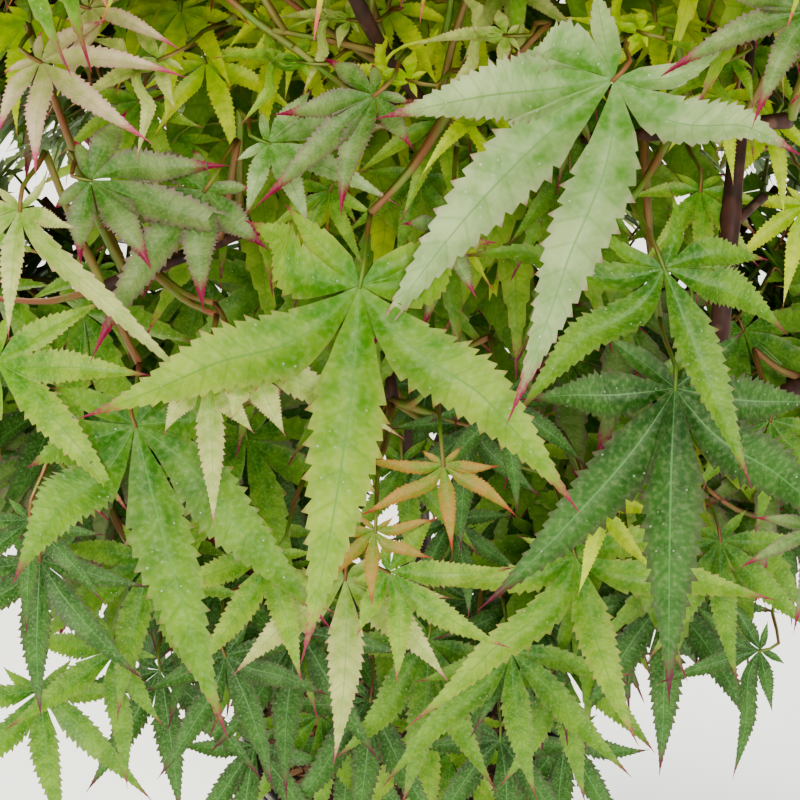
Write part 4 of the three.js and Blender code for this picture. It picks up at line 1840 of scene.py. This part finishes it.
class Foliage:
    """Meshes of leaves and twigs."""

    def __init__(self) -> None:
        """Lays out the blades and makes the finishes."""
        self.blade = Blade(BladeShape(teeth=PLAIN_TEETH), PLAIN_COLUMNS)
        self.near_blade = Blade(BladeShape(), NEAR_COLUMNS)
        self.tints = {tint: tint.value.material(f"{tint.name.lower()} leaf") for tint in Tint}
        self.bark = TWIG.material("twig bark")
        self.stalk = STALK.material("leaf stalk")

    def vary(self, leaf: Leaf, random: Seeded) -> None:
        """Gives a leaf lobes that differ a little from one another."""
        for key, spread in LOBE_SPREADS.items():
            setattr(leaf, key, np.array([random.between(spread) for _ in Lobe]))

    def leaf_patch(self, leaf: Leaf, blade: Blade, palette: tuple[Tint, ...]) -> Patch:
        """The patch of one leaf, with its maps.

        Args:
            leaf: the leaf.
            blade: the blade to lay out for it.
            palette: tints of the piece, which each have a cell of the map.

        Returns:
            The patch.
        """
        slot = palette.index(leaf.tint)
        cells = math.ceil(math.sqrt(len(palette)))
        cell = np.array([slot % cells, slot // cells], float)
        fit = (blade.plan * 0.46 + (0.5, 0.2)) * (1.0, 0.988)
        baked = (cell + np.clip(fit, 0.01, 0.99)) / cells
        maps = {"OFBake": baked, "Lobe": blade.lobe_map, "Plan": blade.plan * blade.shape.plan_size}
        return Patch(blade.laid(leaf), blade.faces, slot, maps)

    @staticmethod
    def stalk_patch(leaf: Leaf) -> Patch:
        """A leaf's stalk, which leaves the twig along its way and bends into the blade.

        Args:
            leaf: the leaf.

        Returns:
            The stalk's patch.
        """
        reach = norm(leaf.base - leaf.foot)
        first = leaf.foot + leaf.stalk_way * 0.35 * reach + leaf.normal * 0.04 * reach
        last = leaf.base - leaf.forward * 0.22 * reach + leaf.normal * 0.02 * reach
        points = smooth_path([leaf.foot, first, last, leaf.base + leaf.forward * 0.6], 2)
        radii = [STALK_RADIUS * (1.35 - 0.45 * min(1, 2 * i / len(points))) for i in range(len(points))]
        return tube(points, radii, 3, 1)

    @staticmethod
    def twig_patch(twig: Twig) -> Patch:
        """A twig with a swelling at each pair of leaves.

        Args:
            twig: the twig.

        Returns:
            The twig's patch.
        """
        points = smooth_path(twig.points, 3 if twig.fine else 8)
        spacing = LeafRule().node_spacing
        gone = np.linspace(twig.length, 0, len(points))
        knots = np.exp(-((((gone + spacing / 2) % spacing) - spacing / 2) / KNOT_HALF) ** 2)
        radii = np.linspace(twig.foot_radius, twig.tip_radius, len(points)) * (1 + KNOT_RISE * knots)
        return tube(points, radii, 4 if twig.fine else 7, 1 if twig.fine else 0)

    def build(
        self, name: str, twigs: list[Twig], leaves: list[Leaf], blade: Blade, palette: tuple[Tint, ...]
    ) -> None:
        """Builds, dresses and places the leaves and the twigs of a mass.

        Args:
            name: name of the pieces, after the kind.
            twigs: the twigs.
            leaves: the leaves, with their tints.
            blade: the blade to lay out.
            palette: the tints in use.
        """
        node = f"foliage_{name.removeprefix('near_')}"
        green = joined_mesh(f"leaves_{name}", [self.leaf_patch(leaf, blade, palette) for leaf in leaves])
        dress(green, [self.tints[tint] for tint in palette])
        place_piece(green, "foliage", node)
        wood = [*map(self.twig_patch, twigs), *map(self.stalk_patch, leaves)]
        brown = joined_mesh(f"twigs_{name}", wood)
        dress(brown, [self.bark, self.stalk])
        place_piece(brown, "foliage", node)


# Leaves that the photograph shows one by one

Pixel = Pair


@dataclass(frozen=True)
class View:
    """The photograph's camera: place in millimetres, tilt down in degrees, lens and frame in pixels.

    Leaves of the rule that would stand nearer than front_depths, at the pixel rows front_rows, are left out.
    """

    eye: Place = (0, -343, 505)
    tilt: float = 33
    lens: float = 1168
    frame: float = 800
    front_rows: tuple[float, ...] = (0, 300, 600, 800)
    front_depths: tuple[float, ...] = (214, 220, 262, 296)
    margin: float = 30
    lower_margin: float = 60

    @property
    def onward(self) -> Vec:
        """Direction that the camera looks in."""
        tilt = radians(self.tilt)
        return np.array([0.0, cos(tilt), -sin(tilt)])

    @property
    def upward(self) -> Vec:
        """Direction of the top of the frame."""
        return cross(RIGHTWARD, self.onward)

    def ray(self, pixel: Pixel) -> Vec:
        """Step from the eye towards a pixel that is 1 deep."""
        right = (pixel[0] - self.frame / 2) / self.lens
        up = (self.frame / 2 - pixel[1]) / self.lens
        return self.onward + RIGHTWARD * right + self.upward * up

    def at(self, pixel: Pixel, depth: float) -> Vec:
        """Point at a pixel and a depth."""
        return np.array(self.eye, float) + self.ray(pixel) * depth

    def on_plane(self, pixel: Pixel, base: Vec, normal: Vec) -> Vec:
        """Point at a pixel on a plane."""
        ray = self.ray(pixel)
        return np.array(self.eye, float) + ray * float((base - self.eye) @ normal) / float(ray @ normal)

    def pixel(self, point: Vec) -> Place:
        """Where a point is in the frame.

        Args:
            point: the point.

        Returns:
            Its pixel and its depth.
        """
        away = point - self.eye
        depth = float(away @ self.onward)
        half = self.frame / 2
        return half + self.lens * away[0] / depth, half - self.lens * float(away @ self.upward) / depth, depth

    def covered(self, leaf: Leaf) -> bool:
        """True where a leaf of the rule would hide the leaves that the photograph shows one by one.

        Args:
            leaf: the leaf.

        Returns:
            True where it would.
        """
        places = [leaf.base, *[leaf.base + leaf.forward * leaf.length * share for share in (0.5, 1)]]
        for hand in (-1, 1):
            places.append(leaf.base + leaf.length * 0.6 * (leaf.forward * 0.4 + leaf.side * hand))
        for point in places:
            x, y, depth = self.pixel(point)
            across = -self.margin < x < self.frame + self.margin
            upright = -self.margin < y < self.frame + self.lower_margin
            if across and upright and 0 < depth < np.interp(y, self.front_rows, self.front_depths):
                return True
        return False

    def add_camera(self) -> None:
        """Adds the camera to the scene."""
        data = bpy.data.cameras.new("camera")
        data.lens = self.lens / self.frame * data.sensor_width
        data.clip_start = 0.02
        made = linked("camera", data)
        made.location = [c * MM for c in self.eye]
        made.rotation_euler = (radians(90 - self.tilt), 0, 0)
        bpy.context.scene.camera = made


@dataclass(frozen=True)
class NearLeaf:
    """A leaf of the photograph: its centre and lobe tips in pixels, its depth in millimetres and its tint.

    The tips come in the order of Lobe, with None for a hidden one. Such a lobe, and one that has no entry,
    gets the share rest of its usual length. nod tips the leaf's face up.
    """

    centre: Pixel
    depth: float
    tips: tuple[Pixel | None, ...]
    tint: Tint
    nod: float = 0.0
    rest: float = 0.9
    droop: float = 0.1


SAGE, GRASS, MEADOW, FOREST, LIME, PALE, BRONZE, BLUSH, DUSK = Tint
# Painted light in the tints: lime leaves along the top of the frame stand in for the bright light there, and
# forest leaves in the deep lower rows for shade
# Each row has the fields of NearLeaf in order
NEAR_ROWS: tuple[tuple, ...] = (
    ((614, 79), 190, ((360, 356), (510, 425), (372, 108), (815, 150), (498, 58), (735, -20)), SAGE, 0.05),
    (
        (664, 268), 208, ((761, 490), (798, 331), (515, 420), (776, 256), (451, 250), (650, 175), (591, 165)),
        GRASS, 0.12,
    ),
    ((360, 285), 197, ((293, 684), (589, 519), (62, 419), (500, 240), (240, 215)), MEADOW, 0.02),
    ((20, 209), 200, ((2, 337), (196, 388), (-120, 290), (77, 227), None, (34, 150)), PALE, 0.12),
    ((-4, 362), 212, ((122, 517), (150, 372), (-60, 560)), MEADOW, 0.12),
    ((135, 425), 214, ((222, 757), (330, 640), (0, 591), (260, 400), (20, 470)), GRASS),
    ((675, 388), 222, ((682, 722), (880, 545), (478, 621), (830, 400), (520, 400)), FOREST),
    ((575, 555), 258, ((646, 757), (790, 607), (406, 743), None, (430, 590)), MEADOW),
    ((511, 652), 282, ((541, 812), (640, 790), (380, 800), (640, 680)), GRASS),
    ((207, 378), 206, ((208, 532),), PALE, 0.0, 0.5),
    ((250, 364), 202, ((406, 439),), PALE, 0.1, 0.5),
    ((447, 228), 200, ((420, 338), (478, 300)), DUSK, 0.0, 0.6),
    ((345, 578), 236, ((332, 774), (450, 690), (230, 680)), PALE, 0.0, 0.8),
    ((443, 464), 206, ((453, 557), (520, 520), (355, 519), None, (351, 462)), BRONZE),
    ((375, 530), 212, ((372, 612), (435, 560), (322, 590), (440, 520), (318, 530)), BRONZE),
    ((388, 572), 228, ((515, 655), (520, 570), (395, 690)), MEADOW, 0.0, 0.7),
    ((90, 180), 206, ((290, 230), (230, 160), (150, 270)), DUSK, 0.1, 0.6),
    ((205, 190), 208, ((83, 360), (200, 310)), DUSK, 0.1, 0.6),
    ((375, 95), 200, ((250, 200), (340, 215), (270, 110)), DUSK, 0.2, 0.6),
    ((268, 143), 210, ((400, 200), (400, 120), (310, 230)), SAGE, 0.2, 0.8),
    ((812, 10), 186, ((662, 68), (760, 120), (690, -30)), DUSK, 0.1, 0.8),
    ((818, 528), 236, ((741, 572), (800, 640)), DUSK, 0.0, 0.8),
    ((600, 503), 238, ((660, 575), None, (580, 600)), LIME, 0.0, 0.7),
    ((40, 62), 200, ((150, 133), (185, 62), (30, 170), (110, 10)), BLUSH, 0.3),
    ((88, 8), 205, ((180, 40), (170, -30), (60, 90)), BLUSH, 0.3),
    ((272, 555), 232, ((180, 682), (300, 690), (150, 600)), MEADOW, 0.0, 0.8),
    ((118, 648), 276, ((-2, 736), (120, 800), (10, 640)), GRASS),
    ((225, 655), 284, ((270, 800), (330, 700), (150, 790)), FOREST),
    ((760, 650), 286, ((660, 690), (740, 790), (690, 600)), FOREST),
    ((300, 632), 300, ((285, 808), (380, 770), (205, 760)), FOREST),
    ((428, 640), 304, ((400, 822), (500, 800), (330, 770)), GRASS),
    ((470, 600), 312, ((480, 770), (570, 720), (400, 730)), FOREST),
    ((560, 660), 306, ((590, 815), (660, 760), (500, 800)), GRASS),
    ((370, 700), 316, ((350, 860), (450, 850), (270, 840)), FOREST),
    ((500, 740), 322, ((500, 890), (590, 860), (420, 860)), FOREST),
    ((330, -12), 224, ((300, 96), (390, 70), (240, 60)), LIME, 0.2),
    ((425, 6), 230, ((470, 112), (530, 50), (390, 100)), LIME, 0.2),
    ((505, -20), 222, ((530, 70), (590, 30), (460, 60)), PALE, 0.2),
    ((205, 62), 226, ((235, 165), (300, 110), (150, 130)), LIME, 0.2),
    ((140, 100), 230, ((105, 205), (180, 190), (50, 150)), MEADOW, 0.2),
    ((772, 118), 232, ((716, 196), (790, 215), (690, 130)), LIME, 0.1),
    ((640, 160), 240, ((600, 250), (690, 240), (560, 190)), MEADOW, 0.1),
    ((805, 205), 236, ((790, 305), (860, 290), (730, 270)), LIME, 0.1),
    ((420, 175), 226, ((395, 270), (470, 250), (340, 235)), GRASS, 0.1),
    ((255, 745), 318, ((240, 880), (330, 860), (170, 850)), FOREST),
    ((395, 590), 330, ((385, 730), (470, 700), (310, 690)), GRASS),
    ((330, 610), 336, ((310, 740), (390, 720), (240, 700)), FOREST),
    ((540, 590), 334, ((550, 730), (630, 690), (470, 700)), FOREST),
    ((430, 720), 330, ((435, 860), (510, 830), (350, 840)), MEADOW),
    ((250, 640), 330, ((230, 760), (310, 750), (170, 720)), GRASS),
    ((285, 40), 230, ((262, 140), (330, 120), (205, 96)), LIME, 0.5),
    ((360, 70), 238, ((352, 176), (420, 140), (300, 130)), LIME, 0.5),
    ((440, 60), 242, ((452, 160), (510, 118), (380, 112)), LIME, 0.5),
    ((540, 40), 236, ((556, 140), (612, 98), (486, 104)), LIME, 0.5),
    ((180, 10), 228, ((160, 112), (230, 80), (110, 60)), LIME, 0.5),
    ((250, -20), 248, ((250, 70), (310, 40), (190, 30)), LIME, 0.6),
    ((400, -24), 254, ((392, 62), (450, 36), (330, 24)), LIME, 0.6),
    ((590, -16), 250, ((600, 74), (660, 40), (536, 44)), LIME, 0.6),
    ((690, -10), 238, ((690, 96), (752, 60), (634, 62)), LIME, 0.5),
    ((745, 50), 234, ((760, 150), (812, 110), (690, 120)), MEADOW, 0.4),
    ((30, 20), 226, ((12, 128), (86, 96), (-40, 90)), LIME, 0.4),
    ((310, 150), 234, ((296, 250), (360, 226), (240, 214)), MEADOW, 0.3),
    ((480, 150), 236, ((486, 256), (546, 220), (424, 218)), MEADOW, 0.3),
    ((570, 170), 234, ((580, 280), (640, 236), (508, 240)), GRASS, 0.3),
    ((700, 190), 228, ((700, 300), (764, 262), (640, 262)), MEADOW, 0.3),
    ((409, 80), 204, ((318, 58), (352, 2), (345, 132), (440, 18)), LIME, 0.5, 0.7),
    ((300, 62), 203, ((206, 50), (252, -6), (236, 116), (330, -4)), MEADOW, 0.5, 0.7),
    ((506, 36), 204, ((410, 34), (456, -20), (440, 92)), PALE, 0.5, 0.7),
    ((350, 20), 208, ((268, 12), (330, -60), (300, 84)), PALE, 0.5, 0.7),
    ((486, 108), 205, ((420, 170), (410, 110), (480, 190)), LIME, 0.3, 0.7),
    ((640, 32), 200, ((560, 8), (600, -50), (590, 60)), LIME, 0.5, 0.7),
    ((730, 60), 206, ((650, 100), (660, 30), (720, 150)), MEADOW, 0.4, 0.8),
    ((160, 60), 207, ((60, 100), (80, 30), (130, 150)), PALE, 0.4, 0.8),
    ((472, 424), 256, ((462, 560), (545, 500), (396, 500)), FOREST),
    ((402, 462), 262, ((412, 590), (482, 560), (338, 548)), GRASS),
    ((430, 380), 264, ((420, 486), (486, 452), (372, 450)), FOREST),
    ((450, 520), 270, ((470, 626), (530, 580), (400, 610)), FOREST),
    ((345, 742), 335, ((330, 870), (420, 850), (260, 850)), FOREST),
    ((450, 752), 338, ((452, 880), (530, 850), (380, 860)), GRASS),
    ((388, 8), 222, ((370, 110), (440, 84), (318, 70)), LIME, 0.4),
    ((462, 12), 226, ((440, 120), (500, 92), (396, 92)), LIME, 0.4),
    ((440, 120), 218, ((400, 214), (460, 220), (352, 168)), MEADOW, 0.3),
    ((330, 190), 216, ((300, 270), (366, 268), (262, 226)), MEADOW, 0.2),
    ((300, -6), 226, ((282, 88), (346, 60), (222, 44)), LIME, 0.4),
    ((655, 20), 222, ((670, 108), (722, 66), (606, 70)), LIME, 0.4),
    ((720, 96), 216, ((736, 182), (790, 140), (668, 150)), LIME, 0.3),
    ((96, 270), 226, ((60, 352), (128, 360), (22, 300)), GRASS, 0.2),
    ((40, 560), 262, ((30, 730), (140, 690), (-90, 650), (150, 590)), FOREST),
    ((150, 560), 268, ((110, 730), (214, 710), (20, 660)), GRASS),
    ((40, 690), 300, ((60, 850), (150, 810), (-60, 800)), GRASS),
    ((160, 670), 306, ((175, 830), (260, 790), (80, 800)), FOREST),
    ((720, 540), 272, ((744, 690), (830, 640), (650, 670)), GRASS),
    ((665, 600), 296, ((668, 790), (760, 740), (580, 730)), FOREST),
    ((320, 715), 324, ((312, 850), (390, 830), (240, 830)), GRASS),
    ((566, 738), 330, ((560, 880), (640, 850), (480, 860)), FOREST),
    ((30, 520), 240, ((20, 640), (100, 610), (-60, 600)), FOREST),
    ((500, 400), 238, ((520, 520), (590, 470), (430, 490)), FOREST),
    ((770, 420), 250, ((760, 540), (840, 500), (690, 500)), GRASS),
)

NEAR_LEAVES = tuple(starmap(NearLeaf, NEAR_ROWS))

# Dark stems that show between the leaves: pixels with depths, and the radius
NEAR_STEMS: tuple[tuple[tuple[Place, ...], float], ...] = (
    (((748, 30, 232), (731, 215, 226), (719, 332, 226), (700, 420, 246)), 2.2),
    (((731, 226, 226), (764, 196, 228)), 1.1),
)


class NearSpray:
    """The leaves that stand at the front of the crown, with their twigs and stalks."""

    curls = (0.0, 0.3)
    sickles = (-0.2, 0.2)
    stalk_lengths = (15, 24)
    twig_radii = (1.0, 0.65)
    stem_taper = 0.8

    def __init__(self, view: View, crown_twigs: list[Twig]) -> None:
        """Keeps the camera, and points of the crown's twigs that the sprays can leave."""
        self.view = view
        self.sources = np.concatenate([np.array(smooth_path(t.points, 8)) for t in crown_twigs])

    def leaf(self, row: NearLeaf, index: int) -> Leaf:
        """The leaf of a row, with its lobes turned and stretched to their pixels.

        Args:
            row: the row.
            index: number of the row, which seeds its small differences.

        Returns:
            The leaf.
        """
        view, shape = self.view, BladeShape()
        base = view.at(row.centre, row.depth)
        normal = unit(-view.onward + view.upward * row.nod)
        forward_tip = view.on_plane(row.tips[Lobe.MIDDLE.value], base, normal) - base
        length = norm(forward_tip)
        made = Leaf(base, base, -normal, unit(forward_tip), normal, length, row.droop, row.tint)
        random = Seeded(900 + index)
        made.lobe_turns = np.zeros(len(Lobe))
        made.lobe_stretches = np.full(len(Lobe), row.rest)
        for lobe, pixel in enumerate(row.tips):
            if pixel is None:
                continue
            tip = view.on_plane(pixel, base, normal) - base
            angle = math.atan2(float(tip @ made.side), float(tip @ made.forward))
            wanted = angle - radians(shape.angles[lobe])
            made.lobe_turns[lobe] = (wanted + pi) % (2 * pi) - pi
            made.lobe_stretches[lobe] = norm(tip) / (length * shape.shares[lobe])
        made.lobe_curls = np.array([random.between(self.curls) for _ in Lobe])
        made.lobe_sickles = np.array([random.between(self.sickles) for _ in Lobe])
        back = unit(-made.forward * 0.5 + view.upward * 0.4 + view.onward * 0.8)
        made.foot = base + back * random.between(self.stalk_lengths)
        made.stalk_way = unit(base - made.foot)
        return made

    def nearest_source(self, point: Vec) -> Vec:
        """The point of the crown's twigs that is nearest to a point."""
        return self.sources[int(np.linalg.norm(self.sources - point, axis=1).argmin())]

    def twig_to(self, leaf: Leaf) -> Twig:
        """A fine twig from the nearest twig of the crown to the foot of a leaf's stalk."""
        start = self.nearest_source(leaf.foot)
        bend = (start + leaf.foot) / 2 - UP * 0.08 * norm(start - leaf.foot)
        return Twig([start, bend, leaf.foot], *self.twig_radii, 1, True)

    def stems(self) -> list[Twig]:
        """The dark stems, whose lower ends run on to the nearest twig of the crown."""
        made = []
        for pixels, radius in NEAR_STEMS:
            points = [self.view.at((x, y), depth) for x, y, depth in pixels]
            if len(points) > 2:
                points = [self.nearest_source(points[-1]), *points[::-1]]
            made.append(Twig(points, radius, self.stem_taper * radius, 1))
        return made

    def build(self, foliage: Foliage) -> None:
        """Builds the sprays as two pieces, one of leaves and one of twigs.

        Args:
            foliage: builds the pieces.
        """
        leaves = [self.leaf(row, index) for index, row in enumerate(NEAR_LEAVES)]
        LOG.info("%d near leaves", len(leaves))
        twigs = [self.twig_to(leaf) for leaf in leaves] + self.stems()
        palette = tuple(tint for tint in Tint if any(leaf.tint is tint for leaf in leaves))
        foliage.build("near_front", twigs, leaves, foliage.near_blade, palette)


# Light and floor


def add_light(data: bpy.types.Light, place: Place, way: Vec, colour: str) -> None:
    """Adds a light to the scene.

    Args:
        data: the light.
        place: where it stands.
        way: direction from what it lights to the light.
        colour: its colour code.
    """
    data.color = linear(colour)[:3]
    made = linked(data.name, data)
    made.location = place
    x, y, z = unit(way)
    made.rotation_euler = (math.acos(z), 0, math.atan2(x, -y))


@dataclass(frozen=True)
class SoftLight:
    """A square light in metres and watts that faces a point of the plant."""

    name: str
    place: Place
    size: float
    power: float
    colour: str = "ffffff"
    target: Place = (0, 0, 0.4)

    def build(self) -> None:
        """Adds the light."""
        data = bpy.data.lights.new(self.name, "AREA")
        data.shape, data.size, data.energy = "SQUARE", self.size, self.power
        add_light(data, self.place, np.array(self.place) - np.array(self.target), self.colour)


@dataclass(frozen=True)
class Daylight:
    """Even light from one side of the sky: way to it, width in degrees, strength and colour."""

    way: Place = (-0.45, 0.5, 1.1)
    spread: float = 32
    strength: float = 8.8
    colour: str = "fff6e0"

    def build(self) -> None:
        """Adds the light."""
        data = bpy.data.lights.new("daylight", "SUN")
        data.energy, data.angle = self.strength, radians(self.spread)
        add_light(data, (0, 0, 0), np.array(self.way), self.colour)


@dataclass(frozen=True)
class Studio:
    """Pale floor in metres, soft lights and sky."""

    floor_size: float = 30.0
    sky: str = "e6edf5"
    sky_strength: float = 0.28
    look: str = "AgX - Medium High Contrast"
    lights: tuple[SoftLight | Daylight, ...] = (
        Daylight(),
        SoftLight("front light", (0.5, -1.4, 1.5), 0.6, 16, "fffaf2"),
        SoftLight("fill light", (-0.15, -1.0, 0.7), 0.6, 4.5, "fffbe8", (0, 0, 0.52)),
    )

    def build(self) -> None:
        """Builds the floor, the lights and the sky."""
        half = self.floor_size / 2 / MM
        corners = np.array([[-half, -half, 0], [half, -half, 0], [half, half, 0], [-half, half, 0]])
        floor = joined_mesh("floor", [Patch(corners, np.array([[0, 1, 2], [0, 2, 3]]))])
        dress(floor, [FLOOR.material("pale floor")])
        for light in self.lights:
            light.build()
        world = bpy.data.worlds.new("sky")
        bpy.context.scene.world = world
        bpy.context.scene.view_settings.look = self.look
        world.use_nodes = True
        world.node_tree.nodes.clear()
        add = partial(add_node, world.node_tree)
        sky = add("Background", {"Color": self.sky, "Strength": self.sky_strength})
        add("OutputWorld", {0: sky})


def deal_tints(leaves: list[Leaf], palette: tuple[Tint, ...], mass: Mass, seed: int) -> None:
    """Deals a tint to each spray of leaves, brighter ones the higher it stands in its mass, as painted light.

    Args:
        leaves: leaves of the mass.
        palette: tints of the mass.
        mass: the mass.
        seed: seed of the mass. With the cell of space that a spray is in, it gives the spray's seed.
    """
    rare = palette[-1] in RARE_TINTS
    kinds = palette[:-1] if rare else palette
    for leaf in leaves:
        x, y, z = (math.floor(c / SPRAY_SIZE) for c in leaf.foot)
        pick = Seeded(seed * 31 + x * 7 + y * 133 + z * 1009 + 5000)()
        if rare and pick < RARE_SHARE:
            leaf.tint = palette[-1]
            continue
        # Painted light from above: the higher a leaf stands in its mass, the brighter its tint
        pick -= TINT_RISE * float(leaf.base[2] - mass.centre[2]) / MASS_REACH
        first = next(i for i, share in enumerate(TINT_SHARES) if pick <= share)
        leaf.tint = kinds[min(first, len(kinds) - 1)]


def bearing_twigs(twigs: list[Twig], leaves: list[Leaf]) -> list[Twig]:
    """The stem, and the twigs that bear one of these leaves or another twig that does.

    Args:
        twigs: stem and twigs of a mass.
        leaves: its leaves.

    Returns:
        The twigs to build, in the same order.
    """
    bearing = {id(twigs[0])}
    for leaf in leaves:
        twig = leaf.twig
        while twig is not None:
            bearing.add(id(twig))
            twig = twig.parent
    return [twig for twig in twigs if id(twig) in bearing]


def build_crown(trunk: TrunkShape, view: View) -> None:
    """Grows and builds the masses, then the leaves that the photograph shows one by one.

    Args:
        trunk: the trunk.
        view: the photograph's camera.
    """
    crown = Crown(trunk, CrownShape(), TwigRule(), LeafRule())
    foliage = Foliage()
    front_twigs: list[Twig] = []
    for index, mass in enumerate(crown.masses):
        seed = crown.shape.seed + index
        twigs, leaves = crown.grow(mass, seed)
        seen = [leaf for leaf in leaves if not view.covered(leaf)]
        deal_tints(seen, PALETTES[mass.name], mass, seed)
        for number, leaf in enumerate(seen):
            foliage.vary(leaf, Seeded(seed * 5000 + number))
        bearing = bearing_twigs(twigs, seen)
        foliage.build(mass.name, bearing, seen, foliage.blade, PALETTES[mass.name])
        if mass.name != "low_back":
            front_twigs += [twig for twig in bearing if not twig.fine]
    NearSpray(view, front_twigs).build(foliage)


def main() -> None:
    """Builds the plant, then the studio."""
    logging.basicConfig(level=logging.INFO, format="%(asctime)s %(name)s: %(message)s")
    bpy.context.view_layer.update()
    pot = NurseryPot()
    pot.dress(pot.build())
    compost = Compost(pot)
    body = compost.build()
    compost.dress(body, compost.strew_chips(body))
    trunk = TrunkShape(compost.top)
    limbs = Limbs(trunk)
    limbs.dress(limbs.build())
    view = View()
    build_crown(trunk, view)
    Studio().build()
    view.add_camera()


if __name__ == "__main__":
    main()
